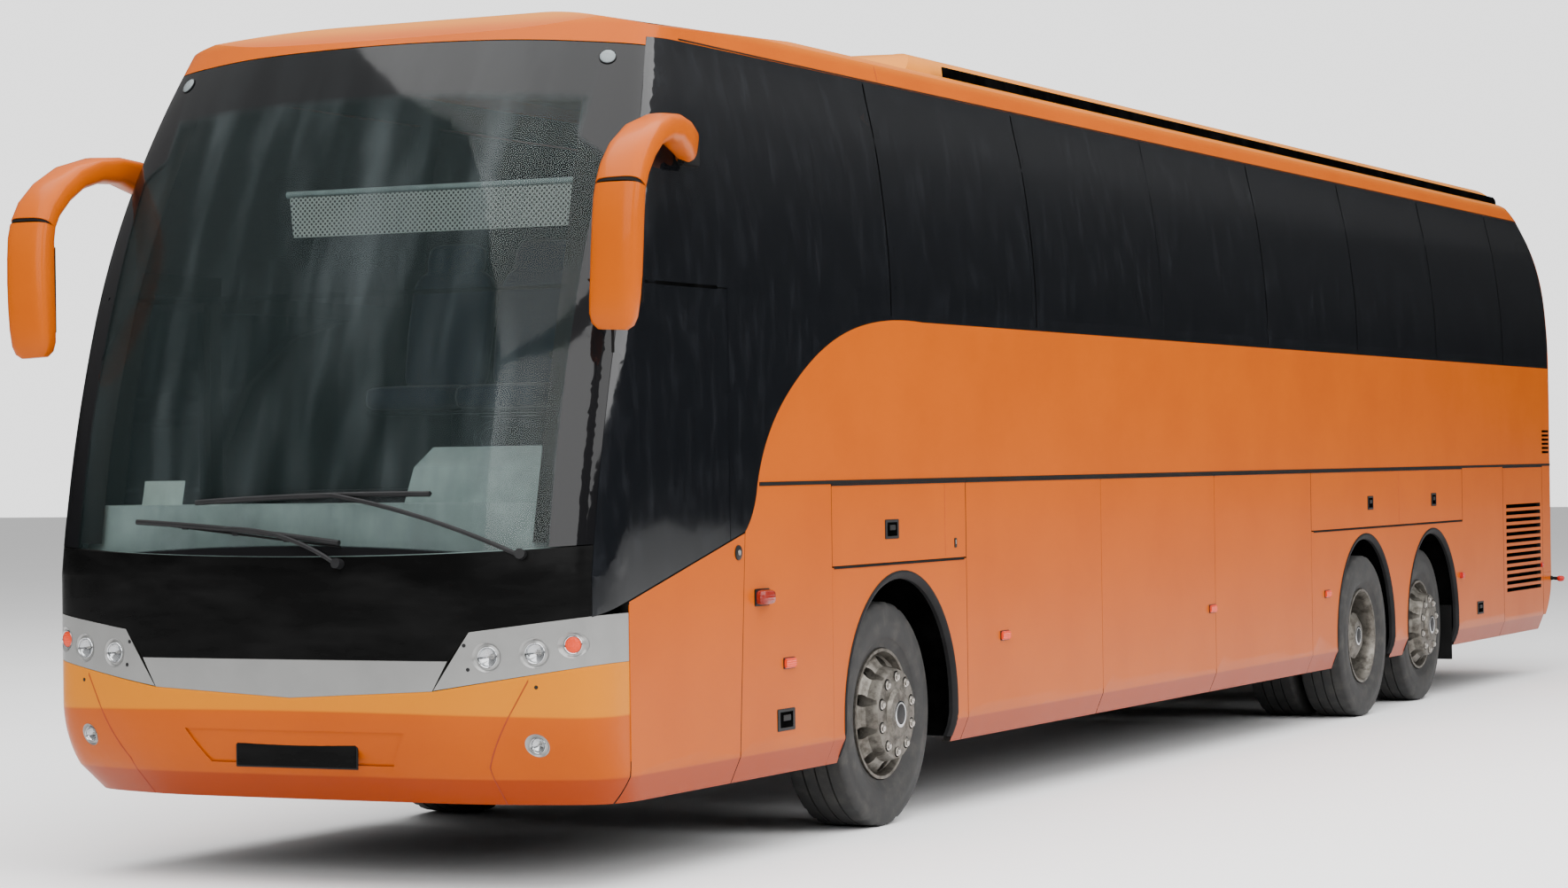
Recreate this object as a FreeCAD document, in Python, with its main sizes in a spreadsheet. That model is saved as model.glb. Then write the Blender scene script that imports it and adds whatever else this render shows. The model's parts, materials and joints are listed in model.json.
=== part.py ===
import FreeCAD, Part
import math
import os
import Sketcher
from FreeCAD import Placement, Rotation, Vector

# A three-axle coach bus. Millimetres. The origin is on the ground under the middle of
# the bus, +Z is up, the front faces -Y and the driver's side is +X.

doc = FreeCAD.newDocument("coach")
sheet = doc.addObject("Spreadsheet::Sheet", "size")

SIZES = (
    # whole body
    ("body_length", 15000),
    ("body_width", 2550),
    ("roof_height", 3530),
    ("gutter_height", 3349),
    ("rail_height", 1540),
    ("belt_height", 2270),
    ("skirt_height", 335),
    ("crease_height", 442),
    ("skirt_tuck", 43),
    ("wall_thickness", 50),
    ("door_thickness", 40),
    ("glass_thickness", 8),
    ("seat_gap", 0.3),
    ("panel_gap", 1),
    ("door_gap", 7),
    # front and rear curves
    ("chin_height", 700),
    ("chin_radius", 305),
    ("screen_foot", 1220),
    ("screen_lean", 7.4),
    ("screen_radius", 4850),
    ("screen_return", 200),
    ("corner_depth", 420),
    ("tumble_height", 2250),
    ("tumble_radius", 4650),
    ("rear_corner", 60),
    ("shoulder_height", 2750),
    ("shoulder_depth", 1100),
    ("tail_margin", 66),
    ("tail_tuck_height", 700),
    ("tail_tuck_radius", 180),
    ("cove_height", 75),
    # axles and wheels
    ("front_axle_place", -4500),
    ("drive_axle_place", 2680),
    ("tag_axle_place", 4220),
    ("tyre_radius", 505),
    ("tyre_width", 295),
    ("rim_radius", 294),
    ("front_track", 2090),
    ("drive_outer_track", 2230),
    ("twin_pitch", 335),
    ("kingpin_track", 1800),
    ("arch_radius", 622),
    ("hand_holes", 10),
    ("hand_hole_radius", 28),
    ("hand_hole_circle", 232),
    ("hub_radius", 205),
    ("hub_reach", 215),
    ("twin_hub_reach", 270),
    ("spindle_radius", 45),
    ("drum_radius", 205),
    ("kingpin_radius", 22),
    ("tow_bore_radius", 25),
    ("tow_plate", 30),
    ("jack_pad", 120),
    # running gear
    ("beam_height", 180),
    ("beam_width", 90),
    ("beam_spacing", 900),
    ("beam_base", 700),
    ("axle_radius", 75),
    ("engine_length", 1700),
    ("engine_width", 790),
    ("engine_height", 900),
    ("engine_place", 5400),
    ("engine_base", 560),
    # doors along the side
    ("nose_edge", -7075),
    ("flap_edge", -6144),
    ("arch_panel_front", -5233),
    ("luggage_front", -3755),
    ("luggage_rear", 1555),
    ("luggage_count", 3),
    ("bogie_rear", 4975),
    ("engine_door_front", 6070),
    ("engine_door_rear", 7200),
    ("grille_base", 646),
    ("grille_pitch", 50),
    ("grille_count", 13),
    ("vent_base", 1638),
    ("vent_pitch", 31),
    ("vent_count", 6),
    ("wheel_flap_foot", 1190),
    ("lid_width", 1900),
    ("lid_foot", 760),
    ("lid_slot_base", 1130),
    ("lid_slot_pitch", 40),
    ("lid_slot_count", 8),
    ("rear_window_width", 1900),
    ("hinge_radius", 4),
    # side windows
    ("window_first", -4574),
    ("window_pitch", 1784),
    ("window_count", 7),
    ("window_frame", 90),
    # cabin
    ("deck_thickness", 40),
    ("bay_floor_height", 380),
    ("first_seat", -5200),
    ("seat_pitch", 840),
    ("seat_rows", 14),
    ("seat_width", 960),
    ("seat_height", 1150),
    ("steering_wheel_radius", 230),
    ("steering_tilt", 30),
    # mirrors and wipers
    ("mirror_reach", 1475),
    ("mirror_width", 200),
    ("mirror_drop", 640),
    # roof cooler
    ("cooler_front", -3800),
    ("cooler_rear", 7120),
    ("cooler_width", 2000),
    ("cooler_height", 3612),
)

for row, (alias, value) in enumerate(SIZES, 1):
    sheet.set("A%d" % row, alias)
    sheet.set("B%d" % row, str(value))
    sheet.setAlias("B%d" % row, alias)
doc.recompute()

NODES = []


def mm(alias):
    """A driving dimension from the sheet."""
    return float(sheet.get(alias))


def keep(obj, label):
    """Give a finished sub-part the name of its file."""
    obj.Label = label
    NODES.append(obj)
    return obj


def shape_node(shape, label):
    """A sub-part whose shape the spline surfaces of the body give."""
    obj = doc.addObject("Part::Feature", label)
    obj.Shape = shape
    return keep(obj, label)


# Outlines and prisms

def edges_of(points):
    """Edges through a list of (a, b) points. A nested pair (middle, end) is an arc."""
    edges = []
    last = Vector(points[0][0], points[0][1], 0)
    for step in points[1:]:
        if isinstance(step, list):
            spline = Part.BSplineCurve()
            through = [last] + [Vector(a, b, 0) for a, b in step]
            spline.interpolate(Points=through)
            edges.append(spline.toShape())
            end = through[-1]
        elif isinstance(step[0], tuple):
            middle = Vector(step[0][0], step[0][1], 0)
            end = Vector(step[1][0], step[1][1], 0)
            edges.append(Part.Arc(last, middle, end).toShape())
        else:
            end = Vector(step[0], step[1], 0)
            edges.append(Part.LineSegment(last, end).toShape())
        last = end
    start = Vector(points[0][0], points[0][1], 0)
    if last.distanceToPoint(start) > 1e-6:
        edges.append(Part.LineSegment(last, start).toShape())
    return edges


AXES = {
    "yz": (Rotation(Vector(1, 1, 1), 120), Vector(1, 0, 0)),
    "xz": (Rotation(Vector(1, 0, 0), 90), Vector(0, 1, 0)),
    "xy": (Rotation(), Vector(0, 0, 1)),
}


def prism(plane, points, low, high):
    """An outline in a plane, extruded from low to high along the third axis."""
    turn, along = AXES[plane]
    wire = Part.Wire(Part.__sortEdges__(edges_of(points)))
    face = Part.Face(wire)
    face.Placement = Placement(along * low, turn)
    return face.extrude(along * (high - low))


def block(x, y, z):
    """A box from three (low, high) pairs."""
    box = Part.makeBox(x[1] - x[0], y[1] - y[0], z[1] - z[0])
    box.translate(Vector(x[0], y[0], z[0]))
    return box


def rod(radius, start, end):
    """A round bar from one point to another."""
    line = end - start
    return Part.makeCylinder(radius, line.Length, start, line)


def slots(x, y, name):
    """Cutters for a column of level slots, by the name of its sizes."""
    base = mm(name + "_base")
    pitch = mm(name + "_pitch")
    levels_up = [base + i * pitch for i in range(int(mm(name + "_count")))]
    return Part.makeCompound([block(x, y, (z, z + pitch * 0.55)) for z in levels_up])


def mirrored(shape):
    """The same shape on the other side of the bus."""
    return shape.mirror(Vector(0, 0, 0), Vector(1, 0, 0))


def joined(shapes):
    """One solid out of shapes that overlap."""
    whole = shapes[0]
    for shape in shapes[1:]:
        whole = whole.fuse(shape)
    return whole


def pieces(shapes):
    """Like pieces of one node, kept as separate solids."""
    solids = []
    for shape in shapes:
        solids.extend(shape.Solids)
    return Part.makeCompound(solids)


# The curved body

HALF = mm("body_width") / 2
NOSE = -mm("body_length") / 2
TAIL = mm("body_length") / 2
RAIL = mm("rail_height")
WALL = mm("wall_thickness")
DOOR = mm("door_thickness")
GLASS = mm("glass_thickness")
SEAT = mm("seat_gap")
GAP = mm("panel_gap")
DOOR_GAP = mm("door_gap")
FAR = mm("body_length")
FRONT_PLAN = ((0.35, 5), (0.62, 28), (0.76, 70), (0.88, 118), (0.955, 175), (0.99, 262))


def front_y(z):
    """Front of the body on its centre line at a height."""
    if z < mm("chin_height"):
        return NOSE + (mm("chin_height") - z) ** 2 / (2 * mm("chin_radius"))
    if z <= mm("screen_foot"):
        return NOSE
    rise = z - mm("screen_foot")
    lean = math.tan(math.radians(mm("screen_lean")))
    return NOSE + rise * lean + rise ** 2 / (2 * mm("screen_radius"))


def half_width(z):
    """Half of the body's width at a height."""
    if z < mm("crease_height"):
        share = (mm("crease_height") - z) / (mm("crease_height") - mm("skirt_height"))
        return HALF - mm("skirt_tuck") * share
    if z <= mm("tumble_height"):
        return HALF
    return HALF - (z - mm("tumble_height")) ** 2 / (2 * mm("tumble_radius"))


def bow(z, inset, side=1):
    """Half of the front's curve at a height, from the centre out to the shoulder."""
    wide = half_width(z) - inset
    front = front_y(z) + inset
    shoulder = front + mm("corner_depth") - inset / 2
    points = [Vector(0, front, z)]
    points += [Vector(side * share * wide, front + back, z) for share, back in FRONT_PLAN]
    points += [Vector(side * wide, shoulder, z)]
    curve = Part.BSplineCurve()
    curve.interpolate(Points=points, InitialTangent=Vector(side, 0, 0),
                      FinalTangent=Vector(0, 1, 0))
    return curve, points[0], points[-1]


def chain(points):
    """Straight edges from point to point."""
    return [Part.LineSegment(start, end).toShape() for start, end in zip(points, points[1:])]


def tail_corners(z, inset):
    """Edges round the rear from the left side to the right side, with round corners."""
    wide = half_width(z) - inset
    rear = tail_y(z) - inset
    radius = max(mm("rear_corner") - inset, mm("hinge_radius"))
    near = radius * (1 - math.sqrt(0.5))
    left = Vector(wide, rear - radius, z)
    left_end = Vector(wide - radius, rear, z)
    right_end = Vector(radius - wide, rear, z)
    right = Vector(-wide, rear - radius, z)
    edges = [Part.Arc(left, Vector(wide - near, rear - near, z), left_end).toShape()]
    edges += chain([left_end, right_end])
    edges += [Part.Arc(right_end, Vector(near - wide, rear - near, z), right).toShape()]
    return edges, left, right


def side_section(z, outer, inner):
    """Half of the skin at a height: the left side and the left half of the front."""
    end = TAIL + 100
    out_curve, out_front, out_shoulder = bow(z, outer)
    in_curve, in_front, in_shoulder = bow(z, inner)
    straight = [out_shoulder, Vector(out_shoulder.x, end, z), Vector(in_shoulder.x, end, z),
                in_shoulder]
    return Part.Wire([out_curve.toShape()] + chain(straight) + [in_curve.toShape()]
                     + chain([in_front, out_front]))


def front_section(z, outer, inner):
    """The skin round the whole front at a height."""
    end = NOSE + 1900
    shoulders = []
    edges = []
    for inset in (outer, inner):
        left, _, shoulder = bow(z, inset)
        right, _, _ = bow(z, inset, -1)
        edges += [left.toShape(), right.toShape()]
        shoulders.append(shoulder)
    out, inside = shoulders
    for side in (1, -1):
        corners = [out, Vector(out.x, end, z), Vector(inside.x, end, z), inside]
        edges += chain([Vector(side * p.x, p.y, z) for p in corners])
    return Part.Wire(Part.__sortEdges__(edges))


def tail_section(z, outer, inner):
    """The skin round the rear at a height."""
    start = TAIL - 800
    edges, left, right = tail_corners(z, outer)
    wide = half_width(z) - inner
    rear = tail_y(z) - inner
    inside = [right, Vector(right.x, start, z), Vector(-wide, start, z), Vector(-wide, rear, z),
              Vector(wide, rear, z), Vector(wide, start, z), Vector(left.x, start, z), left]
    return Part.Wire(edges + chain(inside))


def plan_section(z, inset):
    """The body's outline at a height, drawn in by an inset."""
    left_bow, _, left_shoulder = bow(z, inset)
    right_bow, _, right_shoulder = bow(z, inset, -1)
    edges, left, right = tail_corners(z, inset)
    edges += chain([left_shoulder, left]) + chain([right, right_shoulder])
    edges += [left_bow.toShape(), right_bow.toShape()]
    return Part.Wire(Part.__sortEdges__(edges))


def levels(low, high, steps):
    """Evenly spaced heights."""
    return [low + (high - low) * i / steps for i in range(steps + 1)]


def lofted(section, low, high):
    """A solid through a section at each height, with creases where the body has them."""
    crease = mm("crease_height")
    chin = mm("chin_height")
    foot = mm("screen_foot")
    solids = []
    bands = ((mm("skirt_height"), crease, True), (crease, chin, False), (chin, foot, True),
             (foot, FAR, False))
    for band_low, band_high, ruled in bands:
        start = max(low, band_low)
        end = min(high, band_high)
        if end - start < 1:
            continue
        steps = 1 if ruled else max(2, round((end - start) / 230))
        wires = [section(z) for z in levels(start, end, steps)]
        solids.append(Part.makeLoft(wires, True, ruled))
    whole = solids[0]
    for solid in solids[1:]:
        whole = whole.fuse(solid)
    return whole


def side_skin(outer, inner, low, high):
    """The left side of the skin between two insets."""
    return lofted(lambda z: side_section(z, outer, inner), low, high)


def front_skin(outer, inner, low, high):
    """The skin round the front between two insets."""
    return lofted(lambda z: front_section(z, outer, inner), low, high)


def tail_skin(outer, inner, low, high):
    """The skin round the rear between two insets."""
    return lofted(lambda z: tail_section(z, outer, inner), low, high)


def body_block(inset, low, high):
    """Everything inside the skin between two heights."""
    return lofted(lambda z: plan_section(z, inset), low, high)


def tail_y(z):
    """Rear of the body on its centre line at a height."""
    shoulder = mm("shoulder_height")
    tuck = mm("tail_tuck_height")
    if z < tuck:
        return TAIL - (tuck - z) ** 2 / (2 * mm("tail_tuck_radius"))
    if z <= shoulder:
        return TAIL
    share = min((z - shoulder) / (mm("roof_height") - shoulder), 1)
    return TAIL - mm("shoulder_depth") * (1 - math.sqrt(1 - share ** 2))


def roof_section():
    """Everything under the roof's cross-section."""
    crown = mm("roof_height")
    cove = mm("gutter_height") + mm("cove_height")
    side = half_width(cove) + 10
    half = [
        (side, cove),
        ((side - 45, cove + 37), (side - 130, cove + 50)),
        ((HALF * 0.4, crown - 10), (0, crown)),
        ((-HALF * 0.4, crown - 10), (130 - side, cove + 50)),
        ((45 - side, cove + 37), (-side, cove)),
        (-HALF - 100, cove),
        (-HALF - 100, 100),
        (HALF + 100, 100),
        (HALF + 100, cove),
    ]
    return prism("xz", half, -FAR, FAR)


def roof_line():
    """Everything under the roof's side view."""
    top = mm("roof_height") + 5
    brow = SCREEN_HEAD[1] + 28
    nose = front_y(brow)
    shoulder = mm("shoulder_height")
    rise = top - 5 - shoulder
    bend = [(tail_y(shoulder + rise * share), shoulder + rise * share)
            for share in (0.97, 0.9, 0.8, 0.68)]
    outline = [
        (NOSE - 200, 100),
        (NOSE - 200, brow),
        (nose, brow),
        ((nose + 230, brow + 82), (nose + 760, top)),
        (tail_y(top - 5), top),
        bend,
        (TAIL + 100, shoulder + rise * 0.68),
        (TAIL + 100, 100),
    ]
    return prism("yz", outline, -FAR, FAR)


def above_brow():
    """What the domed front of the roof leaves out: more at the corners, none further back."""
    wires = []
    for y, side, crown in ((NOSE + 100, 3294, 3530), (mm("front_axle_place") - 300, 3451, 3560)):
        outline = [
            (-HALF - 25, side),
            ((0, crown), (HALF + 25, side)),
            (HALF + 25, crown + 200),
            (-HALF - 25, crown + 200),
        ]
        wire = Part.Wire(Part.__sortEdges__(edges_of(outline)))
        wire.Placement = Placement(Vector(0, y, 0), AXES["xz"][0])
        wires.append(wire)
    return Part.makeLoft(wires, True, True)


def behind_front(setback):
    """Everything more than a setback behind the front's centre line."""
    low = mm("skirt_height") - 50
    foot = mm("screen_foot")
    high = mm("roof_height") + 60
    middle = (foot + high) / 2
    outline = [
        (front_y(foot) + setback, low),
        (front_y(foot) + setback, foot),
        ((front_y(middle) + setback, middle), (front_y(high) + setback, high)),
        (FAR, high),
        (FAR, low),
    ]
    return prism("yz", outline, -FAR, FAR)


def before_tail(margin):
    """Everything more than a margin ahead of the rear's side view, up to the gutter."""
    shoulder = mm("shoulder_height")
    rise = mm("roof_height") - shoulder
    at = [(tail_y(shoulder + rise * share) - margin, shoulder + rise * share)
          for share in (0, 0.3, 0.55, 0.7, 0.82)]
    outline = [
        (-FAR, 0),
        (TAIL - margin, 0),
        at[0],
        (at[1], at[2]),
        (at[3], at[4]),
        (at[4][0], FAR / 3),
        (-FAR, FAR / 3),
    ]
    return prism("yz", outline, -FAR, FAR)


# The sweep of the colour line from the driver's window up to the belt
SWEEP = ((-5832, 1761), (-5577, 1978), (-5176, 2168), (-4726, 2258))
SWEEP_RAIL = (-5948, 1544)
SWEEP_LOW = (-5990, 1440)
SWEEP_FOOT = (-6063, 1361)
SILL_FRONT = (-7400, 1040)
MASK_CORNER = 1345
SCREEN_CORNER = 3275
SCREEN_HEAD = (3306, 3363)
SCREEN_BED = (2850, 3250)
SCREEN_ROOM = 0.8


def glass_zone(gap):
    """The side window band and the driver's window, seen from the side."""
    belt = mm("belt_height")
    top = mm("gutter_height")
    outline = [
        (SILL_FRONT[0], SILL_FRONT[1] + gap),
        (SWEEP_FOOT[0] + gap, SWEEP_FOOT[1] + gap),
        ((SWEEP_LOW[0] - gap, SWEEP_LOW[1] + gap), (SWEEP_RAIL[0] - gap, SWEEP_RAIL[1] + gap)),
        [(y - gap, z + gap) for y, z in SWEEP] + [(-4220, belt + gap)],
        (TAIL, belt + gap),
        (TAIL, top - gap),
        (SILL_FRONT[0], top - gap),
    ]
    return prism("yz", outline, 0, HALF + 100)


def window_edges():
    """Places of the gaps between the side panes, front to rear."""
    first = mm("window_first")
    return [first + i * mm("window_pitch") for i in range(int(mm("window_count")))]


def chin_of_wall():
    """A height just below the lowest point of the window band."""
    return SILL_FRONT[1] - 40


def side_wall():
    """Window frame and belt panel of one side, down to the rail."""
    top = mm("gutter_height") - SEAT
    foot = RAIL + mm("hinge_radius") + SEAT
    outline = [
        (SILL_FRONT[0], SILL_FRONT[1] + GAP),
        (SWEEP_FOOT[0], SWEEP_FOOT[1] + GAP),
        ((SWEEP_LOW[0], SWEEP_LOW[1] + GAP), (SWEEP_RAIL[0], foot)),
        (TAIL, foot),
        (TAIL, top),
        (SILL_FRONT[0], top),
    ]
    wall = side_skin(0, WALL, chin_of_wall(), top)
    wall = wall.common(prism("yz", outline, 0, HALF + 100))
    wall = wall.common(behind_front(mm("screen_return") - 60))
    wall = wall.common(before_tail(mm("tail_margin")))
    beside_screen = behind_front(mm("screen_return") + SEAT)
    for low, high in ((0, MASK_CORNER + 2), (SCREEN_CORNER - 4, FAR)):
        wall = wall.cut(block((0, FAR), (NOSE, TAIL / 2), (low, high)).cut(beside_screen))
    vent = slots((HALF - 100, HALF + 100), (mm("engine_door_rear") + 15, TAIL - 85), "vent")
    wall = wall.cut(vent)
    recess = side_skin(-10, GLASS + SEAT, chin_of_wall(), top + 10).common(glass_zone(0))
    wall = wall.cut(recess)
    bed = side_skin(-10, GLASS + SEAT + SCREEN_ROOM, chin_of_wall(), top + 10)
    bed = bed.common(glass_zone(0)).common(block((0, FAR), (NOSE, 0), SCREEN_BED))
    wall = wall.cut(bed.cut(behind_front(mm("screen_return"))))
    for hole in window_holes():
        wall = wall.cut(hole)
    return wall


def window_holes():
    """Openings in the window frame behind each pane."""
    frame = mm("window_frame")
    low = mm("belt_height") + frame * 0.7
    high = mm("gutter_height") - frame
    edges = window_edges()
    holes = []
    for front, rear in zip(edges, edges[1:]):
        holes.append(block((HALF / 2, HALF + 100), (front + frame, rear - frame), (low, high)))
    first = [
        (-6920, 1270),
        (-6290, 1410),
        (-6290, 2300),
        (-6860, 2300),
    ]
    holes.append(prism("yz", first, HALF / 2, HALF + 100))
    upper = [
        (-6760, 2400),
        (edges[0] - frame, 2400),
        (edges[0] - frame, high),
        (-6480, high),
    ]
    holes.append(prism("yz", upper, HALF / 2, HALF + 100))
    side = [
        (-6150, 1700),
        (-5930, 2010),
        (-5560, 2230),
        (-5100, 2330),
        (-6150, 2330),
    ]
    holes.append(prism("yz", side, HALF / 2, HALF + 100))
    last = [
        (edges[-1] + frame, low),
        (TAIL - 260, low),
        (TAIL - 300, 2750),
        (TAIL - 560, 3060),
        (edges[-1] + frame, 3180),
    ]
    holes.append(prism("yz", last, HALF / 2, HALF + 100))
    return holes


def side_panes():
    """The bonded panes of one side."""
    band = side_skin(0, GLASS, chin_of_wall(), mm("gutter_height"))
    band = band.common(glass_zone(SEAT))
    band = band.common(behind_front(mm("screen_return") + 2))
    band = band.common(before_tail(mm("tail_margin") + 12))
    edges = window_edges()
    cuts = [block((0, HALF + 100), (y - 2, y + 2), (0, FAR / 3)) for y in edges]
    cuts.append(block((0, HALF + 100), (NOSE, -6200), (2348, 2352)))
    cuts.append(block((0, HALF + 100), (-6204, -6200), (1000, 2352)))
    for cut in cuts:
        band = band.cut(cut)
    return band


def lower_panel(outline):
    """A panel of the lower side, as thick as a door."""
    return LOWER_SKIN.common(prism("yz", outline, HALF / 2, HALF + 100))


def arch(place, extra):
    """The round opening over a wheel."""
    radius = mm("arch_radius") + extra
    centre = mm("tyre_radius") + 20
    opening = Part.makeCylinder(radius, HALF, Vector(HALF / 2, place, centre), Vector(1, 0, 0))
    below = block((HALF / 2, HALF * 1.5), (place - radius, place + radius), (0, centre))
    return opening.fuse(below)


def fixed_panels():
    """The panels of one side that don't open."""
    foot = mm("skirt_height") - 50
    head = RAIL + mm("hinge_radius")
    flap = mm("wheel_flap_foot")
    swept = [
        (mm("flap_edge"), foot),
        (SWEEP_FOOT[0] - 4, SWEEP_FOOT[1] - 20),
        (SWEEP_FOOT[0], SWEEP_FOOT[1]),
        (SWEEP_LOW, (SWEEP_RAIL[0], head)),
        (mm("arch_panel_front") - GAP, head),
        (mm("arch_panel_front") - GAP, foot),
    ]
    front = lower_panel(swept)
    around = [
        (mm("arch_panel_front"), foot),
        (mm("arch_panel_front"), flap - DOOR_GAP),
        (mm("luggage_front") - GAP, flap - DOOR_GAP),
        (mm("luggage_front") - GAP, foot),
    ]
    around = lower_panel(around).cut(arch(mm("front_axle_place"), 0))
    bogie = [
        (mm("luggage_rear"), foot),
        (mm("luggage_rear"), flap - DOOR_GAP),
        (mm("bogie_rear"), flap - DOOR_GAP),
        (mm("bogie_rear"), head),
        (mm("engine_door_front") - DOOR_GAP, head),
        (mm("engine_door_front") - DOOR_GAP, foot),
    ]
    bogie = lower_panel(bogie)
    bogie = bogie.cut(arch(mm("drive_axle_place"), 0)).cut(arch(mm("tag_axle_place"), 0))
    inner = HALF - DOOR - SEAT
    seam = mm("arch_panel_front")
    pillar = block((inner - 30, inner), (seam - 30, seam + 30), (mm("crease_height") + 20, flap))
    return [front, around, bogie, pillar]


def hinge_rod(front, rear):
    """The hinge along a flap's top edge."""
    return rod(mm("hinge_radius"), Vector(HALF, front, RAIL), Vector(HALF, rear, RAIL))


def top_flap(front, rear, foot):
    """A flap that hangs from the rail."""
    head = RAIL - mm("hinge_radius") + 1
    outline = [(front, foot), (front, head), (rear, head), (rear, foot)]
    panel = lower_panel(outline)
    return joined([panel, hinge_rod(front, rear)])


def both_sides(shape, name):
    """A left node and its mirror image on the right."""
    shape_node(shape, name + "_left")
    shape_node(mirrored(shape), name + "_right")


LOWER_SKIN = side_skin(0, DOOR, mm("skirt_height"), RAIL + mm("hinge_radius"))


def make_sides():
    """Window frames, panes, fixed panels and flaps."""
    foot = mm("skirt_height") - 50
    wall = side_wall()
    panes = side_panes()
    shape_node(wall, "side_wall_left")
    shape_node(mirrored(wall).cut(door_zone(-DOOR_GAP, -SEAT)), "side_wall_right")
    shape_node(pieces([panes]), "side_glass_left")
    right_panes = mirrored(panes).cut(door_zone(-DOOR_GAP, -SEAT))
    shape_node(pieces([right_panes, entrance_pane()]), "side_glass_right")
    both_sides(pieces(fixed_panels()), "lower_panels")
    half_gap = DOOR_GAP / 2
    wheel_foot = mm("wheel_flap_foot")
    both_sides(top_flap(mm("arch_panel_front") + half_gap, mm("luggage_front") - half_gap,
                        wheel_foot), "wheel_flap")
    both_sides(top_flap(mm("luggage_rear") + half_gap, mm("bogie_rear") - DOOR_GAP,
                        wheel_foot), "bogie_flap")
    engine_door = top_flap(mm("engine_door_front"), mm("engine_door_rear"), foot)
    grille = slots((HALF - 100, HALF + 100),
                   (mm("engine_door_front") + 80, mm("engine_door_rear") - 60), "grille")
    both_sides(engine_door.cut(grille), "engine_door")
    count = int(mm("luggage_count"))
    pitch = (mm("luggage_rear") - mm("luggage_front")) / count
    for i in range(count):
        start = mm("luggage_front") + i * pitch
        door = top_flap(start + half_gap, start + pitch - half_gap, foot)
        both_sides(door, "luggage_door_%d" % (i + 1))


def service_flap():
    """The flap ahead of the front wheel, hinged at its front edge."""
    foot = mm("skirt_height") - 50
    start = mm("nose_edge") + mm("hinge_radius") - 1
    rise = (SWEEP_FOOT[1] - SILL_FRONT[1]) / (SWEEP_FOOT[0] - SILL_FRONT[0])
    head = SILL_FRONT[1] + rise * (start - SILL_FRONT[0]) - DOOR_GAP
    outline = [
        (start, foot),
        (start, head),
        (SWEEP_FOOT[0] - DOOR_GAP, SWEEP_FOOT[1] - DOOR_GAP - 2),
        (mm("flap_edge") - DOOR_GAP, foot),
    ]
    panel = lower_panel(outline)
    place_y = mm("nose_edge")
    hinge = rod(mm("hinge_radius"), Vector(HALF, place_y, 500), Vector(HALF, place_y, head - 10))
    return joined([panel, hinge])


# The front

def front_line(low, middle, outer):
    """Heights at the centre, the lamp panel's inner end and the corner, both sides."""
    return [(-HALF - 100, outer), (-640, middle), (0, low), (640, middle), (HALF + 100, outer)]


BUMPER_TOP = (750, 783, 900)
STRIP_TOP = (899, 899, 899)
PANEL_TOP = 1084


def front_zone():
    """Everything ahead of the side flaps' edge."""
    rear = mm("nose_edge") - mm("hinge_radius") - SEAT
    return block((-FAR, FAR), (NOSE - 100, rear), (0, FAR))


def front_bumper():
    """The bumper, in three parts: the middle and two corners."""
    low, middle, outer = BUMPER_TOP
    outline = front_line(low, middle, outer) + [(HALF + 100, 200), (-HALF - 100, 200)]
    skin = front_skin(0, DOOR, mm("skirt_height"), outer + 10)
    body = skin.common(prism("xz", outline, NOSE - 100, -6900)).common(front_zone())
    seams = []
    for side in (1, -1):
        seam = [(side * 1020, 830), (side * 1023, 830), (side * 836, 490), (side * 824, 300),
                (side * 821, 300), (side * 833, 490)]
        seams.append(prism("xz", seam, NOSE - 100, -6900))
    for seam in seams:
        body = body.cut(seam)
    plate_place = [(-423, 487), (-507, 622), (507, 622), (423, 487)]
    x, z, size = FOG_LAMP
    for side in (1, -1):
        body = body.cut(rod(size + SEAT, Vector(side * x, NOSE - 50, z), Vector(side * x, -7000, z)))
    recess = front_skin(-10, 8, mm("crease_height"), mm("chin_height"))
    return body.cut(recess.common(prism("xz", plate_place, NOSE - 100, -6900)))


def lamp_panel():
    """One silver panel that carries three lamps."""
    outline = [
        (645, BUMPER_TOP[1] + 4),
        (795, 1010),
        (HALF + 100, PANEL_TOP),
        (HALF + 100, BUMPER_TOP[2] + GAP),
    ]
    skin = front_skin(0, DOOR, mm("chin_height"), mm("screen_foot"))
    panel = skin.common(prism("xz", outline, NOSE - 100, -6900)).common(front_zone())
    panel = panel.cut(glass_zone(-GAP).common(behind_front(mm("screen_return"))))
    for x, z, size in LAMPS:
        panel = panel.cut(rod(size + SEAT, Vector(x, NOSE - 50, z), Vector(x, -7000, z)))
    return panel


LAMPS = ((865, 915, 58), (1045, 930, 58), (1180, 960, 50))
FOG_LAMP = (1040, 578, 45)


def silver_strip():
    """The strip between the lamp panels."""
    outline = [
        (-640, BUMPER_TOP[1] + GAP),
        (0, BUMPER_TOP[0] + GAP),
        (640, BUMPER_TOP[1] + GAP),
        (705, STRIP_TOP[0]),
        (-705, STRIP_TOP[0]),
    ]
    skin = front_skin(0, DOOR, mm("chin_height"), mm("screen_foot"))
    return skin.common(prism("xz", outline, NOSE - 100, -6900))


def front_mask():
    """The black panel under the windscreen."""
    outline = [
        (-708, STRIP_TOP[0] + GAP),
        (708, STRIP_TOP[0] + GAP),
        (792, 1013),
        (HALF + 100, PANEL_TOP + 4),
        (HALF + 100, MASK_CORNER),
        ((0, 1296), (-HALF - 100, MASK_CORNER)),
        (-HALF - 100, PANEL_TOP + 4),
        (-792, 1013),
    ]
    skin = front_skin(0, DOOR, mm("chin_height"), 1360)
    mask = skin.common(prism("xz", outline, NOSE - 100, -6900))
    return mask.cut(behind_front(mm("screen_return")))


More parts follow.
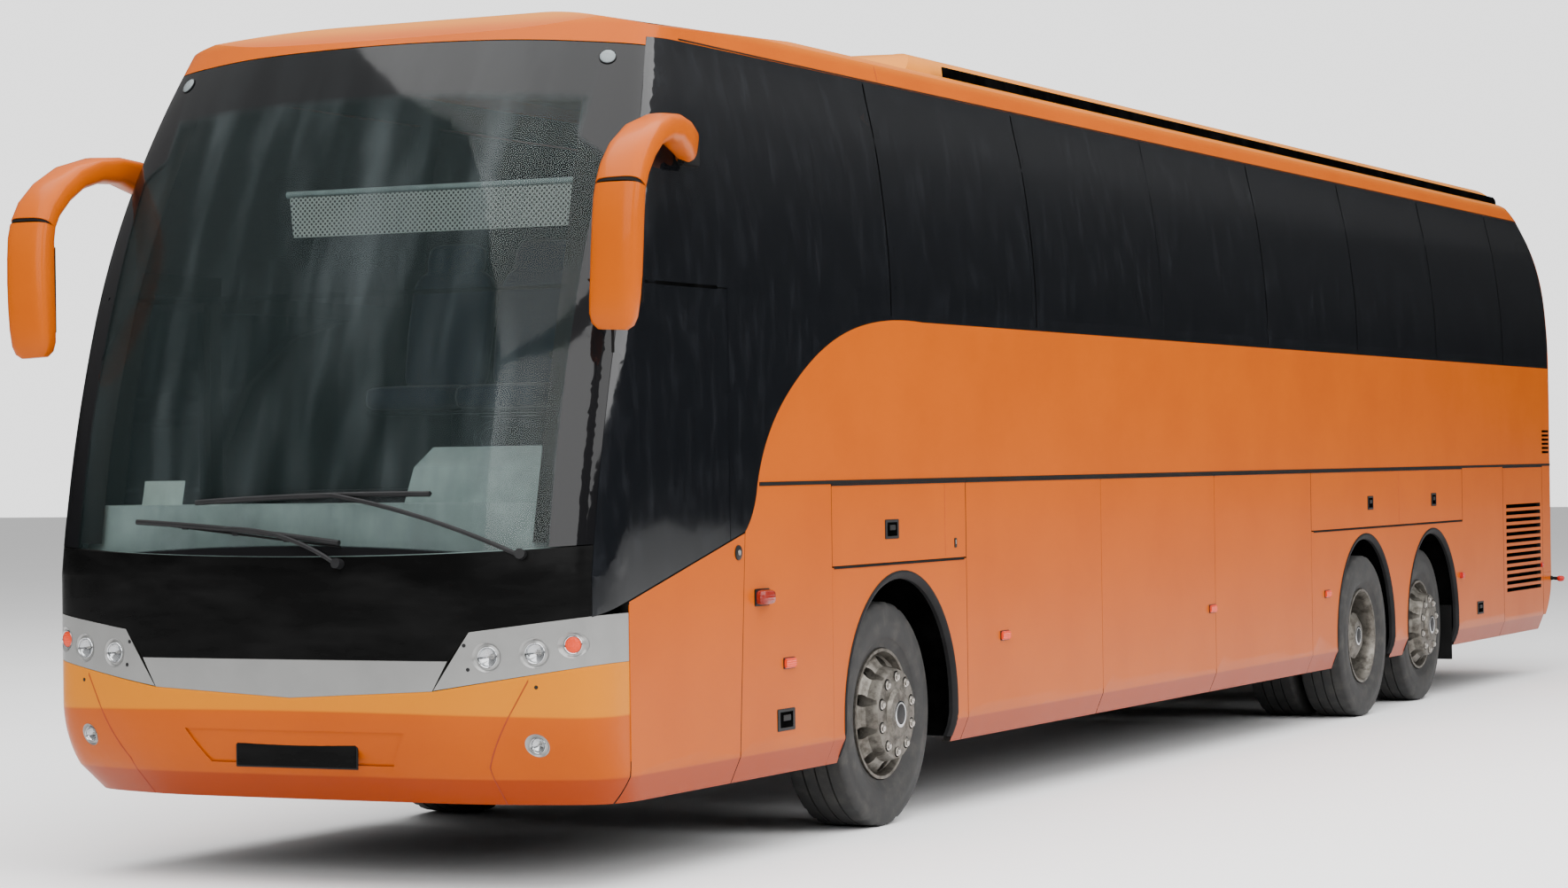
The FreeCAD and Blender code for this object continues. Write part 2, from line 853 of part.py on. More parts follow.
def windscreen():
    """The one-piece windscreen, wrapped round both corners."""
    outline = [
        (-HALF - 100, MASK_CORNER + 4),
        ((0, 1300), (HALF + 100, MASK_CORNER + 4)),
        (HALF + 100, SCREEN_CORNER),
        (1150, SCREEN_HEAD[0]),
        ((0, SCREEN_HEAD[1]), (-1150, SCREEN_HEAD[0])),
        (-HALF - 100, SCREEN_CORNER),
    ]
    screen = front_skin(0, GLASS, mm("screen_foot"), 3440)
    screen = screen.common(prism("xz", outline, NOSE - 100, -6000))
    return screen.cut(behind_front(mm("screen_return")))


def roof():
    """Roof, from the windscreen's head to the rear shoulder, hollow over the cabin."""
    top = mm("gutter_height")
    crown = mm("roof_height")
    upper = body_block(0, top - 80, crown + 15).common(roof_section()).common(roof_line())
    upper = upper.cut(above_brow())
    sides = block((-FAR, FAR), (-FAR, FAR), (0, top)).common(behind_front(mm("screen_return")))
    head = [
        (-HALF - 100, SCREEN_CORNER + 5),
        (-1150, SCREEN_HEAD[0] + 4),
        ((0, SCREEN_HEAD[1] + 4), (1150, SCREEN_HEAD[0] + 4)),
        (HALF + 100, SCREEN_CORNER + 5),
        (HALF + 100, 1000),
        (-HALF - 100, 1000),
    ]
    screen = prism("xz", head, NOSE - 100, -6000).cut(behind_front(mm("screen_return")))
    inner = half_width(top) - WALL
    hollow = [
        (-inner, 0),
        (-inner, top + 40),
        (-inner + 60, crown - WALL - 40),
        ((0, crown - WALL), (inner - 60, crown - WALL - 40)),
        (inner, top + 40),
        (inner, 0),
    ]
    hollow = prism("xz", hollow, front_y(top) + 330, tail_y(top) - 420)
    return upper.cut(sides).cut(screen).cut(hollow)


def make_front():
    """Bumper, lamp panels, strip, mask, windscreen, roof and lamps."""
    shape_node(pieces([front_bumper()]), "front_bumper")
    panel = lamp_panel()
    shape_node(pieces([panel, mirrored(panel), silver_strip()]), "lamp_panels")
    shape_node(pieces([front_mask()]), "front_mask")
    shape_node(pieces([windscreen()]), "windscreen")
    shape_node(pieces([roof()]), "roof")
    shape_node(service_flap(), "service_flap_left")


def mask_bulkhead():
    """The panel behind bumper, lamps and mask that carries them."""
    band = front_skin(DOOR + SEAT, DOOR + 30, 442, 1290)
    band = band.common(block((-FAR, FAR), (NOSE, mm("nose_edge") - 40), (430, 1290)))
    beside_wall = block((-FAR, FAR), (NOSE, 0), (chin_of_wall() - SEAT, FAR))
    band = band.cut(beside_wall.common(behind_front(mm("screen_return"))))
    for x, z, size in LAMPS:
        for side in (1, -1):
            band = band.cut(rod(size * 0.6, Vector(side * x, NOSE, z), Vector(side * x, -7000, z)))
    return band


def tail_bulkhead():
    """The frame behind the engine lid, the corners and the rear bumper."""
    under_deck = RAIL + mm("hinge_radius") - mm("deck_thickness") - SEAT
    start = mm("engine_door_rear") + 40
    band = tail_skin(DOOR + SEAT, DOOR + 30, mm("tail_tuck_height"), under_deck)
    band = band.common(block((-FAR, FAR), (start, FAR), (0, FAR)))
    lid = mm("lid_width") / 2 + 30
    return band.cut(block((-lid, lid), (0, FAR), (mm("lid_foot") + 30, RAIL - 60)))


def floor_deck():
    """Passenger deck, driver's floor, luggage bay floor and the walls between them."""
    deck_top = RAIL + mm("hinge_radius")
    thick = mm("deck_thickness")
    beam_top = mm("beam_base") + mm("beam_height") + SEAT
    step = mm("flap_edge") + 500
    plate = 30
    inside = HALF - WALL - 12
    bay_side = HALF - DOOR - 42
    rear = TAIL - DOOR - 31
    front_edge = [(1190, -7060), (1130, -7230), (1030, -7305), (700, -7395)]
    driver_floor = [(inside, step + plate)] + front_edge
    driver_floor += [(-x, y) for x, y in reversed(front_edge)] + [(-inside, step + plate)]
    parts = [
        block((-inside, inside), (step, rear), (deck_top - thick, deck_top)),
        prism("xy", driver_floor, beam_top, beam_top + thick),
        block((-inside, inside), (step, step + plate), (beam_top, deck_top)),
    ]
    bay_low = mm("bay_floor_height")
    count = int(mm("luggage_count"))
    front = mm("luggage_front")
    pitch = (mm("luggage_rear") - front) / count
    parts.append(block((-bay_side, bay_side), (front - plate / 2, mm("luggage_rear") + plate / 2),
                       (bay_low, bay_low + thick)))
    beam_x = mm("beam_spacing") / 2
    beam_half = mm("beam_width") / 2 + SEAT
    slots = [block((side * beam_x - beam_half, side * beam_x + beam_half), (NOSE, TAIL),
                   (mm("beam_base") - SEAT, beam_top)) for side in (1, -1)]
    for i in range(count + 1):
        y = front + i * pitch
        wall = block((-bay_side, bay_side), (y - plate / 2, y + plate / 2), (bay_low, deck_top))
        for slot in slots:
            wall = wall.cut(slot)
        parts.append(wall)
    for y in (mm("bogie_rear") + 60, mm("engine_door_rear") - 60):
        parts.append(block((-inside, inside), (y - plate / 2, y + plate / 2), (beam_top, deck_top)))
    return joined(parts)


# The rear

def rear_wall():
    """The rear above the engine lid, with its window opening."""
    foot = RAIL + mm("hinge_radius") + SEAT
    wall = tail_skin(0, WALL, foot, mm("gutter_height") - SEAT)
    wall = wall.cut(before_tail(mm("tail_margin") - GAP))
    recess = tail_skin(-10, GLASS + SEAT, 2200, 3000).common(rear_window_zone(0))
    wall = wall.cut(recess)
    inner = mm("rear_window_width") / 2 - 60
    return wall.cut(block((-inner, inner), (TAIL / 2, FAR), (2360, 2850)))


def rear_window_zone(gap):
    """The rear window seen from behind."""
    wide = mm("rear_window_width") / 2 - gap
    return block((-wide, wide), (TAIL / 2, FAR), (2280 + gap, 2930 - gap))


def tail_zone():
    """Everything behind the engine doors."""
    return block((-FAR, FAR), (mm("engine_door_rear") + DOOR_GAP, FAR), (0, FAR))


def lamp_zone(side, gap):
    """One tail lamp cluster seen from behind."""
    low = 860 + gap
    high = 1420 - gap
    inner = 1010 + gap
    outer = 1165 - gap
    x = (inner, outer) if side > 0 else (-outer, -inner)
    return block(x, (TAIL / 2, FAR), (low, high))


def make_rear():
    """Rear wall, window, engine lid, corners, bumper and tail lamps."""
    shape_node(pieces([rear_wall()]), "rear_wall")
    pane = tail_skin(0, GLASS, 2200, 3000).common(rear_window_zone(SEAT))
    shape_node(pieces([pane]), "rear_window")
    skin = tail_skin(0, DOOR, mm("crease_height"), RAIL + mm("hinge_radius")).common(tail_zone())
    lid = mm("lid_width") / 2
    foot = mm("lid_foot")
    head = RAIL - mm("hinge_radius") + 1
    panel = skin.common(block((-lid, lid), (0, FAR), (foot, head)))
    for x in ((80, lid - 120), (120 - lid, -80)):
        panel = panel.cut(slots(x, (TAIL - 200, TAIL + 100), "lid_slot"))
    hinge = rod(mm("hinge_radius"), Vector(-lid, TAIL, RAIL), Vector(lid, TAIL, RAIL))
    shape_node(joined([panel, hinge]), "engine_lid")
    corner = lid + DOOR_GAP
    head = RAIL + mm("hinge_radius")
    corners = skin.common(block((corner, FAR), (0, FAR), (foot - DOOR_GAP + GAP, head)))
    recess = tail_skin(-10, GLASS * 2 + SEAT, 800, 1500).common(lamp_zone(1, 0))
    corners = corners.cut(recess)
    lens = tail_skin(0, GLASS * 2, 800, 1500).common(lamp_zone(1, SEAT))
    shape_node(pieces([corners, mirrored(corners)]), "rear_corners")
    shape_node(pieces([lens, mirrored(lens)]), "tail_lamps")
    bumper = skin.common(block((-FAR, FAR), (0, FAR), (0, foot - DOOR_GAP)))
    shape_node(pieces([bumper]), "rear_bumper")


def roof_cooler():
    """The air conditioning fairing on the roof."""
    half = mm("cooler_width") / 2
    top = mm("cooler_height")
    low = mm("gutter_height") + 60
    section = [
        (-half, low),
        (-half, top - 122),
        ((-half + 40, top - 60), (-half + 170, top - 22)),
        ((0, top), (half - 170, top - 22)),
        ((half - 40, top - 60), (half, top - 122)),
        (half, low),
    ]
    front = mm("cooler_front")
    rear = mm("cooler_rear")
    body = prism("xz", section, front, rear)
    side = [
        (front, low),
        (front, top - 150),
        ((front + 160, top - 62), (front + 620, top)),
        (front + 620, top + 10),
        (rear - 700, top + 10),
        (rear - 700, top),
        ((rear - 220, top - 50), (rear, top - 190)),
        (rear, low),
    ]
    body = body.common(prism("yz", side, -half - 10, half + 10))
    slot = []
    for side_x in (1, -1):
        edge = (half - 70, half + 10) if side_x > 0 else (-half - 10, 70 - half)
        slot.append(block(edge, (front + 150, rear - 150), (low, top - 128)))
    for cut in slot:
        body = body.cut(cut)
    under = body_block(-20, mm("gutter_height") - 60, mm("roof_height") + 15)
    raised = under.common(roof_section()).common(roof_line())
    raised.translate(Vector(0, 0, SEAT))
    return body.cut(raised)


# Wheels

def axis_sketch(body, name):
    """A sketch on the body's XZ plane: across is the axle, up is the radius."""
    sketch = body.newObject("Sketcher::SketchObject", name)
    plane = [f for f in body.Origin.OriginFeatures if f.Role == "XZ_Plane"][0]
    sketch.AttachmentSupport = [(plane, "")]
    sketch.MapMode = "FlatFace"
    return sketch


def bind_outline(sketch, points):
    """A closed outline whose corners are bound to expressions (across, up)."""
    count = len(points)
    for i in range(count):
        angle = 2 * math.pi * i / count
        turn = 2 * math.pi * (i + 1) / count
        sketch.addGeometry(Part.LineSegment(
            Vector(100 * math.cos(angle), 300 + 100 * math.sin(angle), 0),
            Vector(100 * math.cos(turn), 300 + 100 * math.sin(turn), 0)))
    for i in range(count):
        sketch.addConstraint(Sketcher.Constraint("Coincident", i, 2, (i + 1) % count, 1))
    for i, (across, up) in enumerate(points):
        for kind, expression in (("DistanceX", across), ("DistanceY", up)):
            index = sketch.addConstraint(Sketcher.Constraint(kind, -1, 1, i, 1, 100))
            sketch.setExpression("Constraints[%d]" % index, expression)


def revolved_body(label, points):
    """A PartDesign body turned round the axle."""
    body = doc.addObject("PartDesign::Body", label)
    sketch = axis_sketch(body, label + "_outline")
    bind_outline(sketch, points)
    turned = body.newObject("PartDesign::Revolution", label + "_turned")
    turned.Profile = (sketch, [""])
    turned.ReferenceAxis = (sketch, ["H_Axis"])
    turned.Angle = 360
    sketch.Visibility = False
    return body


TYRE = (
    ("-size.tyre_width * 0.36", "size.rim_radius"),
    ("-size.tyre_width * 0.47", "size.rim_radius + 62"),
    ("-size.tyre_width * 0.5", "size.rim_radius + 118"),
    ("-size.tyre_width * 0.47", "size.tyre_radius - 32"),
    ("-size.tyre_width * 0.38", "size.tyre_radius - 5"),
    ("-size.tyre_width * 0.2", "size.tyre_radius"),
    ("size.tyre_width * 0.2", "size.tyre_radius"),
    ("size.tyre_width * 0.38", "size.tyre_radius - 5"),
    ("size.tyre_width * 0.47", "size.tyre_radius - 32"),
    ("size.tyre_width * 0.5", "size.rim_radius + 118"),
    ("size.tyre_width * 0.47", "size.rim_radius + 62"),
    ("size.tyre_width * 0.36", "size.rim_radius"),
)

# The single rim: barrel, domed disc, raised nut ring and hub, with a blind bearing bore
RIM = (
    ("-size.tyre_width * 0.43", "size.rim_radius - size.seat_gap"),
    ("-size.tyre_width * 0.43", "size.rim_radius - 14"),
    ("-size.tyre_width * 0.3", "size.rim_radius - 26"),
    ("size.tyre_width * 0.2", "size.rim_radius - 34"),
    ("size.tyre_width * 0.34", "size.hand_hole_circle - 22"),
    ("size.tyre_width * 0.34", "size.spindle_radius + 30"),
    ("0", "size.spindle_radius + 30"),
    ("0", "size.spindle_radius + size.seat_gap"),
    ("size.hub_reach - 40", "size.spindle_radius + size.seat_gap"),
    ("size.hub_reach - 40", "0"),
    ("size.hub_reach", "0"),
    ("size.hub_reach", "size.hub_radius * 0.5"),
    ("size.hub_reach - 16", "size.hub_radius * 0.56"),
    ("size.hub_reach - 20", "size.hub_radius - 6"),
    ("size.hub_reach - 34", "size.hub_radius"),
    ("size.tyre_width * 0.48", "size.hub_radius + 10"),
    ("size.tyre_width * 0.4", "size.hand_hole_circle + 12"),
    ("size.tyre_width * 0.3", "size.rim_radius - 26"),
    ("size.tyre_width * 0.43", "size.rim_radius - 14"),
    ("size.tyre_width * 0.43", "size.rim_radius - size.seat_gap"),
)

# The twin rim: two barrels on one disc between them, with the driven hub in the dish
TWIN = (
    ("-size.twin_pitch / 2 - size.tyre_width * 0.43", "size.rim_radius - size.seat_gap"),
    ("-size.twin_pitch / 2 - size.tyre_width * 0.43", "size.rim_radius - 14"),
    ("-size.twin_pitch / 2 - size.tyre_width * 0.3", "size.rim_radius - 28"),
    ("-30", "size.rim_radius - 40"),
    ("-10", "size.hand_hole_circle - 30"),
    ("-10", "size.spindle_radius + 30"),
    ("-60", "size.spindle_radius + 30"),
    ("-60", "size.spindle_radius + size.seat_gap"),
    ("size.twin_hub_reach - 60", "size.spindle_radius + size.seat_gap"),
    ("size.twin_hub_reach - 60", "0"),
    ("size.twin_hub_reach", "0"),
    ("size.twin_hub_reach", "size.hub_radius * 0.45"),
    ("size.twin_hub_reach - 30", "size.hub_radius * 0.7"),
    ("60", "size.hub_radius * 0.8"),
    ("30", "size.hub_radius + 30"),
    ("8", "size.hub_radius + 34"),
    ("8", "size.hand_hole_circle - 30"),
    ("-10", "size.rim_radius - 30"),
    ("size.twin_pitch / 2 + size.tyre_width * 0.3", "size.rim_radius - 28"),
    ("size.twin_pitch / 2 + size.tyre_width * 0.43", "size.rim_radius - 14"),
    ("size.twin_pitch / 2 + size.tyre_width * 0.43", "size.rim_radius - size.seat_gap"),
)


def pierce(body, label):
    """Hand holes through the disc, in a polar pattern round the axle."""
    doc.recompute()
    sketch = body.newObject("Sketcher::SketchObject", label + "_hole")
    plane = [f for f in body.Origin.OriginFeatures if f.Role == "YZ_Plane"][0]
    sketch.AttachmentSupport = [(plane, "")]
    sketch.MapMode = "FlatFace"
    sketch.addGeometry(Part.Circle(Vector(0, 230, 0), Vector(0, 0, 1), 25))
    sketch.addConstraint(Sketcher.Constraint("PointOnObject", 0, 3, -2))
    height = sketch.addConstraint(Sketcher.Constraint("DistanceY", -1, 1, 0, 3, 230))
    sketch.setExpression("Constraints[%d]" % height, "size.hand_hole_circle")
    radius = sketch.addConstraint(Sketcher.Constraint("Radius", 0, 25))
    sketch.setExpression("Constraints[%d]" % radius, "size.hand_hole_radius")
    hole = body.newObject("PartDesign::Pocket", label + "_pocket")
    hole.Profile = (sketch, [""])
    hole.Midplane = True
    hole.Type = "Length"
    hole.setExpression("Length", "size.tyre_width * 3")
    sketch.Visibility = False
    doc.recompute()
    ring = body.newObject("PartDesign::PolarPattern", label + "_ring")
    ring.Originals = [hole]
    axis = [f for f in body.Origin.OriginFeatures if f.Role == "X_Axis"][0]
    ring.Axis = (axis, [""])
    ring.Angle = 360
    ring.setExpression("Occurrences", "size.hand_holes")
    body.Tip = ring
    doc.recompute()


def place(obj, side, across, along):
    """Put a wheel on its axle. The right-hand one is turned half round."""
    obj.Placement = Placement(Vector(0, 0, 0), Rotation(Vector(0, 0, 1), 0 if side > 0 else 180))
    obj.setExpression("Placement.Base.x", "%d * (%s)" % (side, across))
    obj.setExpression("Placement.Base.y", "size." + along)
    obj.setExpression("Placement.Base.z", "size.tyre_radius")
    return obj


def make_wheels():
    """Six wheels: steered, twin driven and tag, left and right."""
    for side, hand in ((1, "left"), (-1, "right")):
        for name, along in (("front", "front_axle_place"), ("tag", "tag_axle_place")):
            tyre = revolved_body("tyre_%s_%s" % (name, hand), TYRE)
            keep(place(tyre, side, "size.front_track / 2", along), tyre.Label)
            rim = revolved_body("rim_%s_%s" % (name, hand), RIM)
            pierce(rim, rim.Label)
            keep(place(rim, side, "size.front_track / 2", along), rim.Label)
        rim = revolved_body("rim_drive_" + hand, TWIN)
        pierce(rim, rim.Label)
        keep(place(rim, side, "(size.drive_outer_track - size.twin_pitch) / 2",
                   "drive_axle_place"), rim.Label)
        pair = []
        for n, shift in enumerate(("size.drive_outer_track / 2",
                                   "size.drive_outer_track / 2 - size.twin_pitch")):
            tyre = revolved_body("twin_%s_%d" % (hand, n), TYRE)
            pair.append(place(tyre, side, shift, "drive_axle_place"))
        both = doc.addObject("Part::Compound", "tyre_drive_" + hand)
        both.Links = pair
        keep(both, both.Label)


# Running gear

def bar(name, size, place_at):
    """A box whose sizes and place are expressions."""
    box = doc.addObject("Part::Box", name)
    for prop, expression in zip(("Length", "Width", "Height"), size):
        box.setExpression(prop, expression)
    for axis, expression in zip("xyz", place_at):
        box.setExpression("Placement.Base." + axis, expression)
    return box


def shaft(name, radius, length, place_at, axis):
    """A round bar whose sizes and place are expressions. Its axis is x, y or z."""
    turn = {"x": Rotation(Vector(0, 1, 0), 90), "y": Rotation(Vector(-1, 0, 0), 90),
            "z": Rotation()}[axis]
    cylinder = doc.addObject("Part::Cylinder", name)
    cylinder.Placement = Placement(Vector(0, 0, 0), turn)
    cylinder.setExpression("Radius", radius)
    cylinder.setExpression("Height", length)
    for letter, expression in zip("xyz", place_at):
        cylinder.setExpression("Placement.Base." + letter, expression)
    return cylinder


def fused(label, parts):
    """One sub-part fused out of primitives."""
    whole = doc.addObject("Part::MultiFuse", label)
    whole.Shapes = parts
    return keep(whole, label)


def chassis_frame():
    """Two long beams, cross members, tow plates and jacking pads, a hair apart."""
    parts = []
    for side, name in ((1, "left"), (-1, "right")):
        parts.append(bar("beam_" + name,
                         ("size.beam_width", "size.body_length - 340", "size.beam_height"),
                         ("%d * size.beam_spacing / 2 - size.beam_width / 2" % side,
                          "-size.body_length / 2 + 150", "size.beam_base")))
    places = ("-size.body_length / 2 + 250", "size.front_axle_place - 750",
              "size.luggage_front + 60", "size.luggage_rear - 160",
              "(size.drive_axle_place + size.tag_axle_place) / 2 - 50",
              "size.tag_axle_place + 560", "size.body_length / 2 - 399")
    between = "size.beam_spacing - size.beam_width - 2 * size.seat_gap"
    for n, along in enumerate(places):
        parts.append(bar("cross_%d" % n, (between, "100", "size.beam_height - 40"),
                         ("-(%s) / 2" % between, along, "size.beam_base + 20")))
    for n, along in enumerate(("-size.body_length / 2 + 400", "size.body_length / 2 - 268")):
        parts += [tow_plate(side, n, "(%s) / 2 - 45" % between, along) for side in (1, -1)]
    for n, along in enumerate(("size.front_axle_place + 450", "size.tag_axle_place + 650")):
        for side in (1, -1):
            parts.append(bar("jack_pad_%d_%d" % (n, side + 1),
                             ("size.jack_pad", "size.jack_pad", "25"),
                             ("%d * size.beam_spacing / 2 - size.jack_pad / 2" % side,
                              along + " - size.jack_pad / 2",
                              "size.beam_base - size.seat_gap - 25")))
    frame = doc.addObject("Part::Compound", "chassis_frame")
    frame.Links = parts
    return keep(frame, "chassis_frame")


def tow_plate(side, number, across, along):
    """A plate with an upright bore, against the inner face of a beam."""
    name = "tow_plate_%d_%d" % (number, side + 1)
    plate = bar(name + "_blank", ("90", "70", "size.tow_plate"),
                ("%d * (%s) - 45" % (side, across), along + " - 30", "size.beam_base"))
    bore = shaft(name + "_bore", "size.tow_bore_radius", "2 * size.tow_plate",
                 ("%d * (%s)" % (side, across), along, "size.beam_base - size.tow_plate / 2"),
                 "z")
    cut = doc.addObject("Part::Cut", name)
    cut.Base = plate
    cut.Tool = bore
    return cut


def bellows(name, side, along):
    """An air spring and its pedestal between an axle and the frame."""
    base = "size.tyre_radius"
    return shaft(name, "95", "size.beam_base - size.seat_gap - size.tyre_radius",
                 ("%d * size.beam_spacing / 2" % side, along, base), "z")


def straight_axle(label, along, reach, spindle_reach):
    """An axle tube with spindles, brake drums and air springs."""
    parts = [
        shaft(label + "_tube", "size.axle_radius", "2 * (%s)" % reach,
              ("-(%s)" % reach, along, "size.tyre_radius"), "x"),
        shaft(label + "_spindle", "size.spindle_radius", "2 * (%s)" % spindle_reach,
              ("-(%s)" % spindle_reach, along, "size.tyre_radius"), "x"),
    ]
    for side in (1, -1):
        parts.append(bellows("%s_spring_%d" % (label, side + 1), side, along))
    return parts


def make_running_gear():
    """Frame, axles, knuckles and engine."""
    chassis_frame()
    tag = straight_axle("tag_tube", "size.tag_axle_place", "size.front_track / 2 - 10",
                        "size.front_track / 2 + size.hub_reach - 45")
    for side in (1, -1):
        start = "size.front_track / 2 - 110" if side > 0 else "-(size.front_track / 2 - 20)"
        tag.append(shaft("tag_drum_%d" % (side + 1), "size.drum_radius", "90",
                         (start, "size.tag_axle_place", "size.tyre_radius"), "x"))
    fused("tag_axle", tag)
    mid = "(size.drive_outer_track - size.twin_pitch) / 2"
    drive = straight_axle("drive_tube", "size.drive_axle_place", mid + " - 65",
                          mid + " + size.twin_hub_reach - 65")
    for side in (1, -1):
        start = mid + " - 190" if side > 0 else "-(%s - 70)" % mid
        drive.append(shaft("drive_drum_%d" % (side + 1), "size.drum_radius", "120",
                           (start, "size.drive_axle_place", "size.tyre_radius"), "x"))
    drive.append(shaft("differential", "size.axle_radius * 2.2", "260",
                       ("-130", "size.drive_axle_place", "size.tyre_radius"), "x"))
    fused("drive_axle", drive)
    front = [
        bar("front_beam", ("size.kingpin_track - 60", "110", "100"),
            ("-size.kingpin_track / 2 + 30", "size.front_axle_place - 55",
             "size.tyre_radius - 50")),
    ]
    eyes = []
    for side in (1, -1):
        front.append(bellows("front_spring_%d" % (side + 1), side, "size.front_axle_place"))
        front.append(shaft("front_eye_%d" % (side + 1), "60", "100",
                           ("%d * size.kingpin_track / 2" % side, "size.front_axle_place",
                            "size.tyre_radius - 50"), "z"))
        eyes.append(shaft("front_bore_%d" % (side + 1), "size.kingpin_radius + size.seat_gap",
                          "400", ("%d * size.kingpin_track / 2" % side,
                                  "size.front_axle_place", "size.tyre_radius - 200"), "z"))
    whole = doc.addObject("Part::MultiFuse", "front_axle_blank")
    whole.Shapes = front
    bores = doc.addObject("Part::MultiFuse", "front_axle_bores")
    bores.Shapes = eyes
    axle = doc.addObject("Part::Cut", "front_axle")
    axle.Base = whole
    axle.Tool = bores
    keep(axle, "front_axle")
    for side, hand in ((1, "left"), (-1, "right")):
        knuckle(side, hand)
    engine = [
        bar("engine_body", ("size.engine_width", "size.engine_length", "size.engine_height"),
            ("-size.engine_width / 2", "size.engine_place", "size.engine_base")),
        bar("engine_mounts", ("size.beam_spacing + size.beam_width", "300", "60"),
            ("-(size.beam_spacing + size.beam_width) / 2",
             "size.engine_place + size.engine_length / 2",
             "size.beam_base + size.beam_height + size.seat_gap")),
    ]
    fused("engine_block", engine)


def knuckle(side, hand):
    """A steering knuckle: kingpin, two lugs, web, brake drum and spindle."""
    at = "%d * size.kingpin_track / 2" % side
    along = "size.front_axle_place"
    hub = "size.tyre_radius"
    web_start = "size.kingpin_track / 2 + 68"
    drum = "size.front_track / 2 - 80"
    drum_start = drum if side > 0 else "-(%s + 75)" % drum
    stub_start = web_start if side > 0 else "-(size.front_track / 2 + size.hub_reach - 45)"
    web_at = web_start if side > 0 else "-(%s + 40)" % web_start
    lug_at = "size.kingpin_track / 2" if side > 0 else "-(size.kingpin_track / 2 + 108)"
    parts = [
        shaft("kingpin_" + hand, "size.kingpin_radius", "250", (at, along, hub + " - 125"), "z"),
        shaft("lug_low_" + hand, "50", "60", (at, along, hub + " - 125"), "z"),
        shaft("lug_high_" + hand, "50", "60", (at, along, hub + " + 65"), "z"),
        bar("arm_low_" + hand, ("108", "90", "60"), (lug_at, along + " - 45", hub + " - 125")),
        bar("arm_high_" + hand, ("108", "90", "60"), (lug_at, along + " - 45", hub + " + 65")),
        bar("web_" + hand, ("40", "90", "250"), (web_at, along + " - 45", hub + " - 125")),
        shaft("stub_" + hand, "size.spindle_radius",
              "size.front_track / 2 + size.hub_reach - 45 - (%s)" % web_start,
              (stub_start, along, hub), "x"),
        shaft("drum_" + hand, "size.drum_radius", "75", (drum_start, along, hub), "x"),
    ]
    fused("knuckle_" + hand, parts)


# Cabin

def seat_outline(y, floor, rise):
    """Side view of a seat that faces the front."""
    return [
        (y + 100, floor),
        (y + 300, floor),
        (y + 300, floor + 340),
        (y + 440, floor + 360),
        (y + 590, floor + rise),
        (y + 480, floor + rise),
        (y + 330, floor + 480),
        (y, floor + 450),
        (y, floor + 350),
        (y + 100, floor + 340),
    ]


STEERING_CENTRE = Vector(620, -6660, 1700)


def steering_part(radius, length):
    """A round bar along the steering column, from the wheel's hub downwards."""
    column = Part.makeCylinder(radius, length, Vector(0, 0, -length))
    column.rotate(Vector(0, 0, 0), Vector(1, 0, 0), -mm("steering_tilt"))
    column.translate(STEERING_CENTRE)
    return column


def make_cabin():
    """Seats, dashboard and steering wheel."""
    deck = RAIL + mm("hinge_radius") + SEAT
    floor = mm("beam_base") + mm("beam_height") + 2 * SEAT + mm("deck_thickness")
    width = mm("seat_width")
    outer = HALF - WALL - 60
    seats = []
    for row in range(int(mm("seat_rows"))):
        y = mm("first_seat") + row * mm("seat_pitch")
        outline = seat_outline(y, deck, mm("seat_height"))
        double = prism("yz", outline, outer - width, outer)
        seats += [double, mirrored(double)]
    shape_node(pieces(seats), "passenger_seats")
    outline = seat_outline(-6350, floor, mm("seat_height") + 60)
    shape_node(prism("yz", outline, 380, 860), "driver_seat")
    dash = body_block(DOOR + 30 + SEAT, 1150, 1500)
    dash = dash.common(block((-FAR, FAR), (NOSE, -6900), (0, FAR)))
    cowl = [(-7150, 1450), (-7050, 1640), (-6900, 1720), (-6800, 1690), (-6880, 1450)]
    shroud = [(-6930, 1430), (-6930, 1600), (-6800, 1600), (-6720, 1520), (-6760, 1430)]
    dash = joined([dash, prism("yz", cowl, 300, 1000), prism("yz", shroud, 560, 680)])
    shape_node(dash.cut(steering_part(24 + SEAT, 400)), "dashboard")
    wheel = Part.makeTorus(mm("steering_wheel_radius"), 15)
    hub = Part.makeCylinder(55, 30, Vector(0, 0, -15))
    spokes = Part.makeBox(2 * mm("steering_wheel_radius"), 34, 14,
                          Vector(-mm("steering_wheel_radius"), -17, -7))
    wheel = joined([wheel, hub, spokes])
    wheel.rotate(Vector(0, 0, 0), Vector(1, 0, 0), -mm("steering_tilt"))
    wheel.translate(STEERING_CENTRE)
    shape_node(joined([wheel, steering_part(24, 285)]), "steering_wheel")


# Right-hand door

def door_zone(gap, top_gap):
    """The entrance door seen from the side."""
    lean = mm("corner_depth") + 8
    top = 2480 - top_gap
    heights = (1100, 1500, 2000, top)
    front = [(front_y(z) + lean + gap, z) for z in heights]
    outline = [
        (mm("nose_edge") + DOOR_GAP / 2 + gap, mm("skirt_height") - 50),
        front[0],
        front[1:],
        (mm("flap_edge") - DOOR_GAP - gap, top),
        (mm("flap_edge") - DOOR_GAP - gap, mm("skirt_height") - 50),
    ]
    return prism("yz", outline, -HALF - 100, 0)


def door_pane_zone(gap):
    """The entrance door's pane seen from the side."""
    zone = [
        (-6960 + gap, 1200 + gap),
        (-6200 - gap, 1200 + gap),
        (-6200 - gap, 2440 - gap),
        (-6640 + gap, 2440 - gap),
        (-6830 + gap, 1900),
    ]
    return prism("yz", zone, -HALF - 100, -HALF / 2)


def entrance_pane():
    """The pane of the entrance door."""
    return mirrored(side_skin(0, GLASS, 1100, 2480)).common(door_pane_zone(SEAT))


